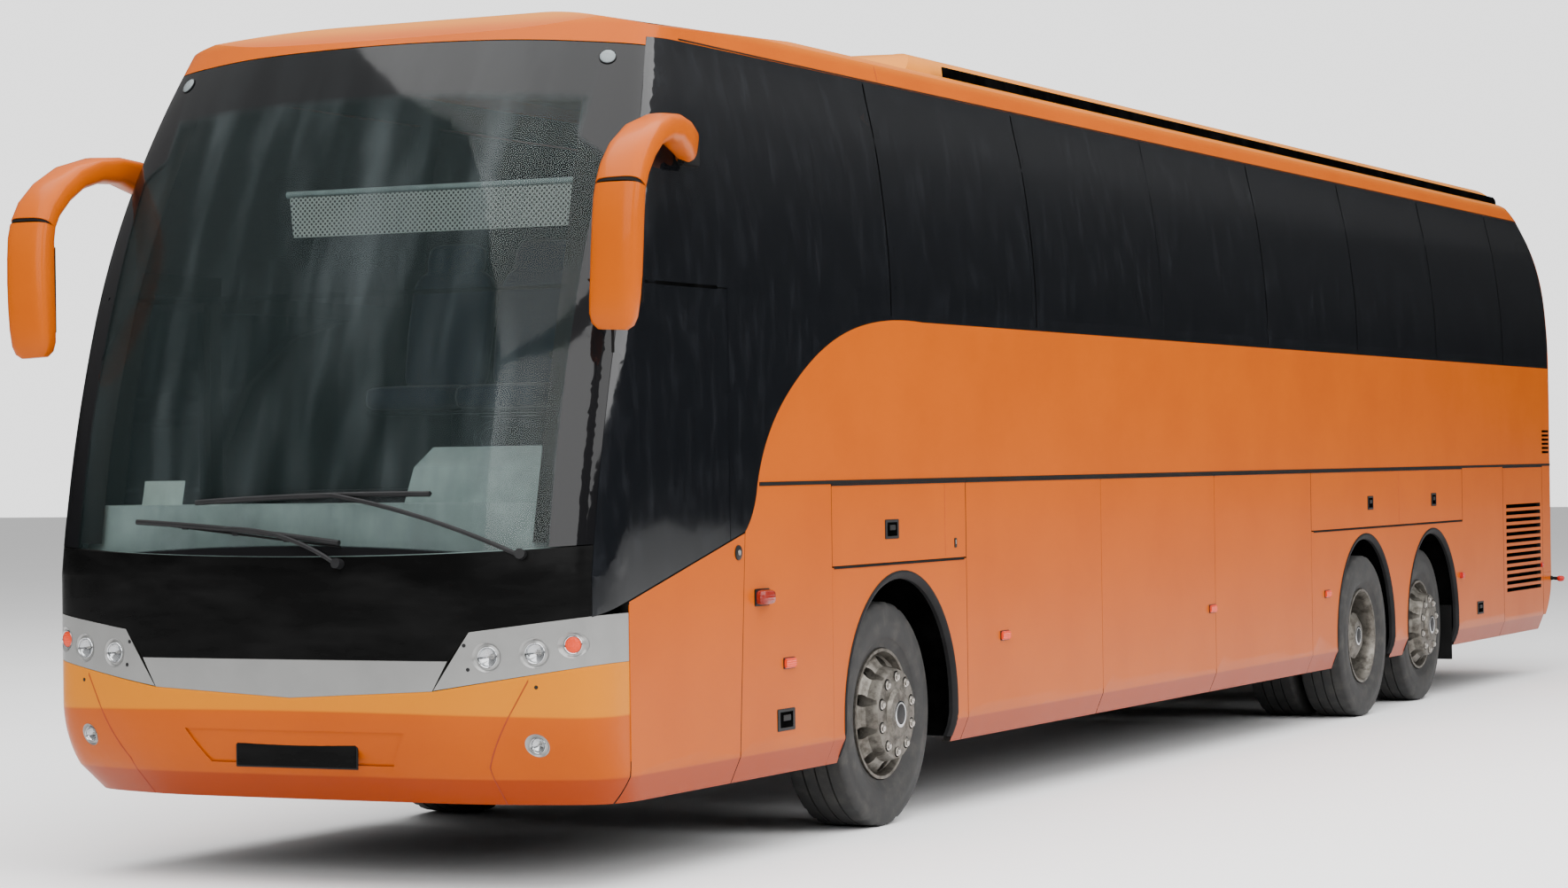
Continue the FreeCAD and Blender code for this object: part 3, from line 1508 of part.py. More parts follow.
def entrance_door():
    """The entrance door's leaf with its window opening."""
    whole = mirrored(side_skin(0, DOOR, mm("skirt_height"), 2480))
    leaf = whole.common(door_zone(0, 0))
    window = [(-6920, 1250), (-6240, 1250), (-6240, 2390), (-6640, 2390), (-6800, 1900)]
    frame = prism("yz", window, -HALF - 100, -HALF / 2)
    recess = mirrored(side_skin(-10, GLASS + SEAT, 1100, 2480)).common(door_pane_zone(0))
    return leaf.cut(recess).cut(frame)


# Mirrors and wipers

def ring(centre, normal, wide, deep):
    """An oval section for a loft."""
    oval = Part.Ellipse(Vector(0, 0, 0), max(wide, deep), min(wide, deep)).toShape()
    wire = Part.Wire([oval])
    if deep > wide:
        wire.rotate(Vector(0, 0, 0), Vector(0, 0, 1), 90)
    wire.Placement = Placement(Vector(*centre), Rotation(Vector(0, 0, 1), Vector(*normal))).multiply(
        wire.Placement)
    return wire


def mirror_arm():
    """Arm and head of one door mirror as one body."""
    reach = mm("mirror_reach")
    half = mm("mirror_width") / 2
    x = reach - half
    foot = 2790 - mm("mirror_drop")
    arm = Part.makeLoft([
        ring((1190, -6560, 2890), (0.6, -0.6, 0.2), 62, 62),
        ring((1270, -6720, 2925), (0.35, -0.9, 0.25), 62, 62),
        ring((1325, -6930, 2945), (0.2, -1, -0.1), 66, 66),
        ring((x - 10, -7160, 2880), (0.1, -0.8, -0.6), 80, 70),
        ring((x, -7300, 2730), (0, -0.35, -1), half, 80),
    ], True, False)
    head = Part.makeLoft([
        ring((x, -7300, 2730), (0, -0.35, -1), half, 80),
        ring((x + 2, -7350, 2500), (0, -0.2, -1), half - 2, 82),
        ring((x, -7385, 2250), (0, -0.15, -1), half - 4, 80),
        ring((x, -7400, foot), (0, -0.1, -1), half - 12, 72),
    ], True, False)
    return joined([arm, head]).cut(body_block(-SEAT, mm("screen_foot"), 3300))


def make_fittings():
    """Mirrors, wipers, entrance door, cooler and lamps."""
    arm = mirror_arm()
    shape_node(pieces([arm, mirrored(arm)]), "mirrors")
    shape_node(roof_cooler(), "roof_cooler")
    shape_node(pieces([entrance_door()]), "entrance_door")
    shape_node(pieces(front_lamps()), "front_lamps")
    shape_node(pieces(wipers()), "wipers")


def surface_y(x, z):
    """Where the front surface is, at a place seen from the front."""
    curve, _, _ = bow(z, 0)
    across = Part.LineSegment(Vector(abs(x), NOSE - 100, z), Vector(abs(x), 0, z))
    return curve.intersect(across)[0].Y


def front_lamps():
    """Round lamps in the lamp panels and the bumper."""
    lamps = []
    skin = front_skin(0, DOOR, mm("crease_height"), mm("screen_foot"))
    for x, z, size in LAMPS:
        y = surface_y(x, z)
        lamp = rod(size, Vector(x, y - 40, z), Vector(x, y + 120, z))
        lamps.append(lamp.common(skin))
    x, z, size = FOG_LAMP
    y = surface_y(x, z)
    lamps.append(rod(size, Vector(x, y - 40, z), Vector(x, y + 120, z)).common(skin))
    return lamps + [mirrored(lamp) for lamp in lamps]


def bent_rod(radius, points, stand_off):
    """A round bar along the arc through three places, held off the front surface."""
    at = [Vector(x, surface_y(x, z) - stand_off, z) for x, z in points]
    path = Part.Wire([Part.Arc(*at).toShape()])
    start = path.Edges[0].tangentAt(path.Edges[0].FirstParameter)
    circle = Part.Wire([Part.Circle(at[0], start, radius).toShape()])
    return path.makePipeShell([circle], True, False)


def wiper(arm, blade):
    """A wiper: an arm from its pivot to a blade that lies along the glass."""
    x, z = arm[0]
    foot = Vector(x, surface_y(x, z), z)
    across = surface_y(x + 5, z) - surface_y(x - 5, z)
    upward = surface_y(x, z + 5) - surface_y(x, z - 5)
    outward = Vector(across / 10, -1, upward / 10).normalize()
    pivot = rod(20, foot + outward * 2 * SEAT, foot + outward * 38)
    return joined([bent_rod(9, arm, 26), bent_rod(11, blade, 17), pivot])


def wipers():
    """Two wipers, parked low across the screen."""
    near = wiper([(997, 1304), (600, 1448), (190, 1536)], [(621, 1538), (84, 1534), (-452, 1512)])
    far = wiper([(234, 1270), (0, 1370), (-300, 1408)], [(234, 1352), (-250, 1404), (-739, 1437)])
    return [near, far]


make_sides()
make_front()
make_rear()
shape_node(floor_deck(), "floor_deck")
shape_node(pieces([mask_bulkhead(), tail_bulkhead()]), "bulkheads")
make_cabin()
make_fittings()
make_wheels()
make_running_gear()
doc.recompute()


def finish():
    """Check every object, then write one file for each sub-part."""
    for obj in doc.Objects:
        if "Invalid" in obj.State or "Error" in obj.State:
            raise RuntimeError("failed object: " + obj.Label)
    faults = []
    for obj in NODES:
        if obj.Shape.isNull() or not obj.Shape.Solids or not obj.Shape.isValid():
            faults.append(obj.Label)
    if faults:
        raise RuntimeError("bad shapes: " + ", ".join(faults))
    os.makedirs("parts", exist_ok=True)
    for obj in NODES:
        obj.Shape.exportStep("parts/%s.step" % obj.Label)


finish()
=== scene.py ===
import json
import math

import bmesh
import bpy
from mathutils import Euler, Matrix, Vector
from mathutils.bvhtree import BVHTree

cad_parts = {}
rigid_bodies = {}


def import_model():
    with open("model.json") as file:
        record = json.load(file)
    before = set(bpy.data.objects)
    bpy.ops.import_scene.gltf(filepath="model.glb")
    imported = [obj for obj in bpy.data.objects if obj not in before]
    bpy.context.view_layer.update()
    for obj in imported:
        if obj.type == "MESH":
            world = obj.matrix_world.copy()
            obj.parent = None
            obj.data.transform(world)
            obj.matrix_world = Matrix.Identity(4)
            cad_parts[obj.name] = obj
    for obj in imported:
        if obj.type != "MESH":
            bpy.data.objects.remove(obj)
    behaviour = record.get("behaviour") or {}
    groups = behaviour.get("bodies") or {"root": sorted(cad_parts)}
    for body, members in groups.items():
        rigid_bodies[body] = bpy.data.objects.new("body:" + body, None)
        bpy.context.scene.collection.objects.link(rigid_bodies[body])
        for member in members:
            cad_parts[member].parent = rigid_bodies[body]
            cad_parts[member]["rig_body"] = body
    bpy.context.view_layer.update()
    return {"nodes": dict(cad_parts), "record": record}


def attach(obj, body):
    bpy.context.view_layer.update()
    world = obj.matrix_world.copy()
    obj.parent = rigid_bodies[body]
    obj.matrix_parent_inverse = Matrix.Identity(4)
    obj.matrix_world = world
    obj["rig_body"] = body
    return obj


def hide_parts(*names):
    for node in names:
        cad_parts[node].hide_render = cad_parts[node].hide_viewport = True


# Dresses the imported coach: smooth shells over its plain solids, finishes, trim, lamps,
# tyres, cabin fittings, a floor, lights and the camera. Metres, +Z up, the front faces -Y.

bl_info = {
    "name": "Touring coach dressing",
    "version": (1, 0, 0),
    "blender": (4, 5, 0),
    "location": "View3D > Sidebar > Coach",
    "description": "Builds the looks of a three-axle touring coach around its packed frame",
    "category": "Object",
}

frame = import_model()
NODES = frame["nodes"]

# Half the body's width, the rail's and the deck's height, the wheels' axis, an arch's radius.
HALF = 1.275
RAIL = 1.540
DECK = 1.544
HUB = 0.505
ARCH = 0.622
AXLES = {"front": -4.5, "drive": 2.68, "tag": 4.22}
SIDES = ((1, "left"), (-1, "right"))


def both_hands(*names):
    """Names of the left and the right node of each pair."""
    return [name + "_" + hand for name in names for _, hand in SIDES]


# Shader helpers

class Sock:
    """A node's output that takes part in Python expressions."""

    def __init__(self, finish, output):
        self.finish = finish
        self.output = output

    def join(self, operation, *values):
        """A Math node on some values."""
        node = self.finish.node("ShaderNodeMath", {"operation": operation}, *values)
        return Sock(self.finish, node.outputs[0])

    def maths(self, operation, *values):
        """A Math node on this value, then others."""
        return self.join(operation, self, *values)

    def __add__(self, other):
        return self.join("ADD", self, other)

    def __radd__(self, other):
        return self.join("ADD", other, self)

    def __sub__(self, other):
        return self.join("SUBTRACT", self, other)

    def __rsub__(self, other):
        return self.join("SUBTRACT", other, self)

    def __mul__(self, other):
        return self.join("MULTIPLY", self, other)

    def __rmul__(self, other):
        return self.join("MULTIPLY", other, self)

    def between(self, low, high):
        """0 below low, 1 above high, and a smooth rise from one to the other."""
        settings = {"interpolation_type": "SMOOTHSTEP"}
        node = self.finish.node("ShaderNodeMapRange", settings, self, low, high, 0.0, 1.0)
        return Sock(self.finish, node.outputs[0])

    def within(self, low, high):
        """1 from low to high and 0 outside."""
        soft = 0.002
        return self.between(low - soft, low + soft) * (1 - self.between(high - soft, high + soft))

    def either(self, other):
        """The larger of two values."""
        return self.maths("MAXIMUM", other)


class Nodes:
    """A node tree in the making."""

    def __init__(self, tree):
        self.tree = tree

    def node(self, kind, settings=None, *values, **named):
        """A node with its settings, then its sockets' values or links, by order or name."""
        node = self.tree.nodes.new(kind)
        for key, value in (settings or {}).items():
            if key == "ramp":
                self.stops(node.color_ramp, value)
            else:
                setattr(node, key, value)
        pairs = list(zip(node.inputs, values))
        pairs += [(node.inputs[key.replace("_", " ")], value) for key, value in named.items()]
        for socket, value in pairs:
            self.feed(socket, value)
        return node

    def feed(self, socket, value):
        """Give a socket a link or a plain value."""
        if isinstance(value, Sock):
            self.tree.links.new(value.output, socket)
        elif isinstance(value, bpy.types.NodeSocket):
            self.tree.links.new(value, socket)
        else:
            socket.default_value = value

    def stops(self, ramp, stops):
        """Fill a colour ramp with (place, colour) stops."""
        while len(ramp.elements) < len(stops):
            ramp.elements.new(1.0)
        for element, (place, colour) in zip(ramp.elements, stops):
            element.position = place
            element.color = colour


class Finish(Nodes):
    """A material in the making, on Object coordinates, kept as place, x, y and z."""

    def __init__(self, name):
        self.material = bpy.data.materials.new(name)
        self.material.use_nodes = True
        super().__init__(self.material.node_tree)
        self.shader = self.tree.nodes["Principled BSDF"]
        self.place = self.node("ShaderNodeTexCoord").outputs["Object"]
        split = self.node("ShaderNodeSeparateXYZ", None, self.place)
        self.x, self.y, self.z = [Sock(self, out) for out in split.outputs]

    def noise(self, scale, detail, rough=0.55, stretch=None):
        """A noise value from 0 to 1, on coordinates that may be scaled along each axis."""
        place = self.place
        if stretch:
            place = self.node("ShaderNodeMapping", Vector=place, Scale=stretch).outputs[0]
        node = self.node("ShaderNodeTexNoise", Vector=place, Scale=scale, Detail=detail,
                         Roughness=rough)
        return Sock(self, node.outputs[0])

    def cells(self, scale, feature="F1"):
        """Distance to the nearest point of a random scatter."""
        node = self.node("ShaderNodeTexVoronoi", {"feature": feature}, Vector=self.place,
                         Scale=scale)
        return Sock(self, node.outputs[0])

    def mix(self, share, first, second):
        """A colour between two colours."""
        node = self.node("ShaderNodeMix", {"data_type": "RGBA"})
        self.feed(node.inputs[0], share)
        self.feed(node.inputs[6], first)
        self.feed(node.inputs[7], second)
        return node.outputs[2]

    def ribs(self, count):
        """Crossed waves of moulded lamp glass, by radians in a metre."""
        return (self.x * count).maths("SINE") * 0.5 + (self.z * count).maths("SINE") * 0.5

    def bump(self, height, strength, distance, normal=None):
        """A bump normal from a height."""
        node = self.node("ShaderNodeBump", Strength=strength, Distance=distance, Height=height)
        if normal is not None:
            self.feed(node.inputs["Normal"], normal)
        return node.outputs[0]

    def close(self, **sockets):
        """Feed the surface shader's sockets and return the material."""
        for key, value in sockets.items():
            self.feed(self.shader.inputs[key.replace("_", " ")], value)
        return self.material


def rgb(red, green, blue):
    """A linear colour from display values of 0 to 255."""
    def linear(value):
        share = value / 255
        return share / 12.92 if share <= 0.04045 else ((share + 0.055) / 1.055) ** 2.4
    return (linear(red), linear(green), linear(blue), 1.0)


def brighter(colour, gain, lift=0.0):
    """A colour times a gain, with a little added."""
    return tuple(min(c * gain + lift, 1) for c in colour[:3]) + (1,)


class CoachColours(bpy.types.PropertyGroup):
    """Colours of the coach's paint, and the painted highlight on the bumper's slope"""
    side: bpy.props.FloatVectorProperty(
        name="Side", description="Paint of the sides, the roof and the tail",
        default=(0.38, 0.070, 0.0, 1.0), subtype="COLOR", size=4)
    side_shade: bpy.props.FloatVectorProperty(
        name="Side shade", description="The same paint where it is a little darker",
        default=(0.35, 0.062, 0.0, 1.0), subtype="COLOR", size=4)
    bumper: bpy.props.FloatVectorProperty(
        name="Bumper", description="Paint of the front bumper",
        default=(0.36, 0.064, 0.0, 1.0), subtype="COLOR", size=4)
    bumper_shade: bpy.props.FloatVectorProperty(
        name="Bumper shade", description="The bumper's paint where it is a little darker",
        default=(0.33, 0.056, 0.0, 1.0), subtype="COLOR", size=4)
    # The slope's lighter colour is a painted highlight, where the bumper's top slope tilts up to
    # the light.
    slope: bpy.props.FloatVectorProperty(
        name="Bumper slope", description="Paint of the bumper's slope under the lamps",
        default=(0.50, 0.165, 0.0, 1.0), subtype="COLOR", size=4)


BLACK = (0.004, 0.004, 0.0045, 1.0)
# Painted shade for the skirt below its crease.
SKIRT_PAINTED_SHADE = (0.22, 0.021, 0.0, 1.0)
# Painted highlight for the roof's edge, where it faces the light.
ROOF_PAINTED_HIGHLIGHT = (0.60, 0.22, 0.02, 1.0)
ROAD_DUST = rgb(104, 60, 16)
FLY_MARKS = rgb(96, 60, 24)


def skirt_painted_shade(f, base, share):
    """Painted shade: the paint darkens below the skirt's crease, where the skirt tucks in under
    the body and faces down.
    """
    return f.mix((1 - f.z.between(0.434, 0.446)) * share, base, SKIRT_PAINTED_SHADE)


def lacquer(f, base, rough, coat):
    """A coach paint's gloss and its faint orange peel."""
    peel = f.noise(260.0, 1.0)
    return f.close(Base_Color=base, Roughness=rough, Coat_Weight=coat, Coat_Roughness=0.05,
                   IOR=1.45, Specular_IOR_Level=0.08, Normal=f.bump(peel, 0.05, 0.0004))


def paint(name):
    """Coach paint: road dust low down, painted shade on the skirt and a painted highlight along
    the roof's edge.
    """
    colours = bpy.context.scene.coach_colours
    f = Finish(name)
    cloud = f.noise(1.6, 4.0)
    streak = f.noise(1.0, 4.0, stretch=(9.0, 9.0, 0.7))
    grime = (1 - f.z.between(0.30, 1.05)) * (streak * 0.7 + 0.15) * 0.14
    base = f.mix(cloud.between(0.3, 0.75), colours.side, colours.side_shade)
    # Painted shade below the skirt's crease, and a painted highlight along the roof's edge from
    # 3.40 m up.
    base = f.mix(f.z.between(3.40, 3.50) * 0.7, skirt_painted_shade(f, base, 0.8), ROOF_PAINTED_HIGHLIGHT)
    base = f.mix(grime * 0.4, base, ROAD_DUST)
    return lacquer(f, base, 0.26 + grime * 0.35 + cloud * 0.06, 0.05 - grime * 0.04)


def bumper_paint(name):
    """Coach paint with a painted highlight on the bumper's top slope, painted shade on the skirt
    and small fly marks.
    """
    colours = bpy.context.scene.coach_colours
    f = Finish(name)
    cloud = f.noise(1.6, 4.0)
    fly = f.cells(55.0).between(0.02, 0.06)
    base = f.mix(cloud.between(0.3, 0.75), colours.bumper, colours.bumper_shade)
    # Painted highlight along the bumper's upward-facing top slope.
    base = f.mix((f.z + f.x * f.x * 0.012).between(0.694, 0.706) * 0.8, base, colours.slope)
    # Painted shade below the skirt's crease, then the fly marks.
    base = f.mix((1 - fly) * 0.25, skirt_painted_shade(f, base, 0.75), FLY_MARKS)
    return lacquer(f, base, 0.26 + cloud * 0.08, 0.05)


def black_paint(name):
    """Gloss black panel paint with faint wipe marks."""
    f = Finish(name)
    marks = f.noise(3.0, 5.0, stretch=(1.0, 1.0, 4.0))
    base = f.mix(marks.between(0.35, 0.8), (0.002, 0.002, 0.002, 1), (0.005, 0.005, 0.005, 1))
    return f.close(Base_Color=base, Roughness=0.22 + marks * 0.12, Specular_IOR_Level=0.05,
                   Normal=f.bump(f.noise(240.0, 1.0), 0.04, 0.0004))


def silver_paint(name):
    """Satin silver lacquer with a metal flake."""
    f = Finish(name)
    flake = f.cells(1400.0)
    cloud = f.noise(4.0, 3.0)
    base = f.mix(cloud, rgb(118, 118, 117), rgb(140, 140, 138))
    return f.close(Base_Color=base, Metallic=0.55, Roughness=0.30 + flake * 0.12,
                   Coat_Weight=0.4, Coat_Roughness=0.08, Normal=f.bump(flake, 0.06, 0.0002))


def side_glass(name):
    """Black-tinted side glass, a little see-through, with faint water marks."""
    f = Finish(name)
    marks = f.noise(14.0, 4.0, stretch=(1.0, 1.0, 0.35))
    frit = (1 - f.z.between(2.32, 2.34)).either(f.z.between(3.27, 3.29))
    base = f.mix(marks.between(0.45, 0.9), (0.004, 0.0045, 0.0055, 1), (0.010, 0.011, 0.013, 1))
    return f.close(Base_Color=base, Roughness=0.035 + marks * 0.05, Alpha=0.94 + frit * 0.06,
                   Specular_IOR_Level=0.45, Normal=f.bump(f.noise(1.1, 2.0), 0.05, 0.02))


def screen_glass(name):
    """Windscreen glass: clear and slightly green, with a black border and shade band."""
    f = Finish(name)
    across = f.x.maths("ABSOLUTE")
    crown = f.z + f.x * f.x * 0.045
    edge = across.between(1.09, 1.10).either(1 - crown.between(1.335, 1.345))
    edge = edge.either(f.y.between(-6.90, -6.885) * across.between(0.95, 1.0))
    band = crown.between(3.10, 3.16) * 0.93
    marks = f.noise(10.0, 5.0, stretch=(1.0, 1.0, 0.5))
    dark = edge.either(band)
    streak = f.noise(1.3, 4.0, stretch=(3.0, 1.0, 0.5)).between(0.42, 0.75)
    film = f.mix(streak, (0.010, 0.016, 0.016, 1), (0.045, 0.056, 0.058, 1))
    base = f.mix(dark, film, BLACK)
    alpha = (dark * 0.7 + 0.30 + streak * 0.12 + marks * 0.04).maths("MINIMUM", 1.0)
    return f.close(Base_Color=base, Roughness=0.03 + marks * 0.04, Alpha=alpha,
                   Specular_IOR_Level=0.22, Normal=f.bump(f.noise(0.9, 2.0), 0.05, 0.02))


def moulded(name, colour, grain, rough, depth, gloss=0.4):
    """Moulded plastic or rubber with a fine grain."""
    f = Finish(name)
    grains = f.cells(grain)
    cloud = f.noise(7.0, 3.0)
    base = f.mix(cloud.between(0.3, 0.8), colour, brighter(colour, 1.35, 0.002))
    return f.close(Base_Color=base, Roughness=rough + grains * 0.12 - 0.03,
                   Specular_IOR_Level=gloss, Normal=f.bump(grains, depth, 0.0006))


def cast_steel(name, colour, rough=0.62, rust=0.25):
    """Painted or bare chassis steel with dust and a little rust."""
    f = Finish(name)
    patch = f.noise(9.0, 6.0, 0.7)
    fine = f.noise(180.0, 3.0)
    base = f.mix(patch.between(0.55, 0.75) * rust, colour, rgb(104, 62, 36))
    base = f.mix(fine * 0.25, base, rgb(70, 66, 60))
    return f.close(Base_Color=base, Metallic=0.25, Roughness=rough + patch * 0.2,
                   Normal=f.bump(fine * 0.7 + patch * 0.3, 0.35, 0.001))


def wheel_steel(name):
    """Weathered bare wheel steel with a grey-brown film."""
    f = Finish(name)
    film = f.noise(22.0, 5.0, 0.65)
    fine = f.noise(320.0, 3.0)
    base = f.mix(film.between(0.35, 0.7), rgb(112, 108, 101), rgb(68, 64, 58))
    return f.close(Base_Color=base, Metallic=0.8, Roughness=0.38 + film * 0.25,
                   Normal=f.bump(fine * 0.6 + film * 0.4, 0.25, 0.0008))


def tyre_rubber(name):
    """Black tyre rubber with a dusty bloom."""
    f = Finish(name)
    bloom = f.noise(12.0, 5.0, 0.65)
    fine = f.noise(500.0, 2.0)
    base = f.mix(bloom.between(0.4, 0.8), (0.011, 0.011, 0.011, 1), (0.034, 0.032, 0.029, 1))
    return f.close(Base_Color=base, Roughness=0.72 + bloom * 0.12,
                   Normal=f.bump(fine * 0.6 + bloom * 0.4, 0.3, 0.0008))


def cloth(name, colour, thread):
    """Woven seat cloth with a fleck."""
    f = Finish(name)
    warp = (f.x * 2200.0).maths("SINE")
    weft = ((f.y + f.z) * 2200.0).maths("SINE")
    weave = warp * weft * 0.5 + 0.5
    fleck = f.cells(90.0).between(0.10, 0.22)
    base = f.mix(1 - fleck, colour, thread)
    return f.close(Base_Color=base, Roughness=0.9, Sheen_Weight=0.3,
                   Normal=f.bump(weave, 0.3, 0.0005))


def lens(name, colour, alpha, ribs=0.0):
    """Moulded lamp glass, ribbed where ribs is above nought."""
    f = Finish(name)
    dust = f.noise(30.0, 4.0)
    base = f.mix(dust, colour, brighter(colour, 1.2, 0.01))
    normal = f.bump(dust, 0.05, 0.0005)
    if ribs:
        normal = f.bump(f.ribs(ribs), 0.35, 0.002, normal)
    return f.close(Base_Color=base, Roughness=0.05 + dust * 0.05, Alpha=alpha, Coat_Weight=0.1,
                   Coat_Roughness=0.02, Specular_IOR_Level=0.25, Normal=normal)


def bright_metal(name, colour, rough=0.12):
    """Polished reflector or screw metal."""
    f = Finish(name)
    film = f.noise(60.0, 3.0)
    return f.close(Base_Color=colour, Metallic=1.0, Roughness=rough + film * 0.08,
                   Normal=f.bump(f.noise(700.0, 2.0), 0.05, 0.0003))


def perforated(name, colour, hole):
    """A pale roller blind with rows of small holes."""
    f = Finish(name)
    across = ((f.x + f.y) * 285.0).maths("SINE")
    upright = (f.z * 285.0).maths("SINE")
    dots = (across * upright).between(0.18, 0.30)
    cloud = f.noise(3.0, 3.0)
    base = f.mix(dots, f.mix(cloud, colour, rgb(150, 165, 160)), hole)
    return f.close(Base_Color=base, Roughness=0.8, Normal=f.bump(1 - dots, 0.2, 0.0008))


def tail_lens(name):
    """A tail lamp: red, with an amber and a white field between."""
    f = Finish(name)
    amber = f.z.within(1.24, 1.33)
    white = f.z.within(1.14, 1.235)
    ring = f.cells(60.0, "DISTANCE_TO_EDGE").between(0.02, 0.05)
    base = f.mix(amber, rgb(168, 12, 8), rgb(226, 98, 14))
    base = f.mix(white, base, rgb(206, 208, 208))
    base = f.mix((1 - ring) * 0.35, base, BLACK)
    return f.close(Base_Color=base, Roughness=0.08 + ring * 0.04, Alpha=0.95, Coat_Weight=0.8,
                   Coat_Roughness=0.03, Normal=f.bump(f.ribs(800.0), 0.3, 0.002))


def sheet_floor(name, colour):
    """Ribbed vinyl floor with scuffs."""
    f = Finish(name)
    scuff = f.noise(6.0, 5.0, 0.7)
    rib = (f.x * 420.0).maths("SINE")
    base = f.mix(scuff.between(0.4, 0.8), colour, brighter(colour, 1.8))
    return f.close(Base_Color=base, Roughness=0.55 + scuff * 0.2,
                   Normal=f.bump(rib * 0.5 + 0.5, 0.3, 0.001))


def studio_floor(name):
    """Pale seamless studio floor."""
    f = Finish(name)
    cloud = f.noise(0.4, 4.0)
    base = f.mix(cloud, (0.80, 0.80, 0.80, 1), (0.84, 0.84, 0.84, 1))
    return f.close(Base_Color=base, Roughness=0.75)


FINISHES = {}


def finish(name):
    """A finish of the coach by name, made when it is first asked for."""
    if name not in FINISHES:
        recipe, args = RECIPES[name]
        FINISHES[name] = recipe("coach_" + name, *args)
    return FINISHES[name]


RECIPES = {
    "orange": (paint, ()),
    "bumper_orange": (bumper_paint, ()),
    "mask_black": (black_paint, ()),
    "silver": (silver_paint, ()),
    "side_glass": (side_glass, ()),
    "screen_glass": (screen_glass, ()),
    "rubber": (moulded, ((0.004, 0.004, 0.004, 1), 600.0, 0.6, 0.2, 0.08)),
    "lip_rubber": (moulded, ((0.008, 0.008, 0.0085, 1), 500.0, 0.6, 0.2, 0.1)),
    "trim": (moulded, ((0.007, 0.007, 0.0075, 1), 500.0, 0.42, 0.2, 0.15)),
    # The liner: the bulkheads, and painted shade in the gaps between panels on the shells' inner
    # faces.
    "liner": (moulded, ((0.012, 0.011, 0.010, 1), 420.0, 0.85, 0.12, 0.1)),
    "dash": (moulded, (rgb(150, 172, 168), 380.0, 0.5, 0.2)),
    "dash_dark": (moulded, (rgb(52, 58, 58), 380.0, 0.5, 0.2)),
    "pale": (moulded, (rgb(190, 214, 206), 300.0, 0.6, 0.1)),
    "blind": (perforated, (rgb(176, 188, 182), rgb(30, 34, 34))),
    "visor": (moulded, (rgb(120, 140, 138), 300.0, 0.7, 0.1)),
    "frame_steel": (cast_steel, ((0.020, 0.020, 0.021, 1),)),
    "axle_iron": (cast_steel, ((0.045, 0.043, 0.040, 1), 0.7, 0.5)),
    "engine_iron": (cast_steel, ((0.10, 0.10, 0.10, 1), 0.6, 0.3)),
    "wheel_steel": (wheel_steel, ()),
    "tyre": (tyre_rubber, ()),
    "cloth": (cloth, (rgb(40, 52, 78), rgb(96, 84, 60))),
    "vinyl": (sheet_floor, ((0.045, 0.045, 0.048, 1),)),
    "clear_lens": (lens, ((0.20, 0.21, 0.22, 1), 0.14)),
    "marker_lens": (lens, (rgb(112, 120, 122), 0.85, 900.0)),
    "amber_lens": (lens, (rgb(200, 52, 4), 0.92, 700.0)),
    "tail_lens": (tail_lens, ()),
    "red_lens": (lens, (rgb(170, 14, 8), 0.88, 700.0)),
    "mirror_glass": (bright_metal, ((0.62, 0.66, 0.68, 1), 0.03)),
    # Near black: for the dark joints between panes, and as painted shade in latch wells, nut
    # wells, wheel arches, the cooler's slot and behind grilles.
    "black_hole": (moulded, ((0.0008, 0.0008, 0.0008, 1), 300.0, 0.9, 0.2, 0.0)),
    "seam_red": (moulded, (rgb(120, 30, 4), 500.0, 0.6, 0.1)),
    "dark_red_lens": (lens, (rgb(120, 22, 10), 0.92, 500.0)),
    "reflector": (bright_metal, ((0.42, 0.43, 0.44, 1),)),
    "bolt_steel": (bright_metal, ((0.42, 0.40, 0.37, 1), 0.32)),
}


# Mesh helpers

def put(obj, body):
    """Let a finished piece ride on a body."""
    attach(obj, body)
    return obj


def smooth(mesh, angle):
    """Smooth shading with sharp edges above an angle in degrees."""
    limit = math.radians(angle)
    bm = bmesh.new()
    bm.from_mesh(mesh)
    for face in bm.faces:
        face.smooth = True
    for edge in bm.edges:
        sharp = len(edge.link_faces) != 2 or edge.calc_face_angle(math.pi) > limit
        edge.smooth = not sharp
    bm.to_mesh(mesh)
    bm.free()


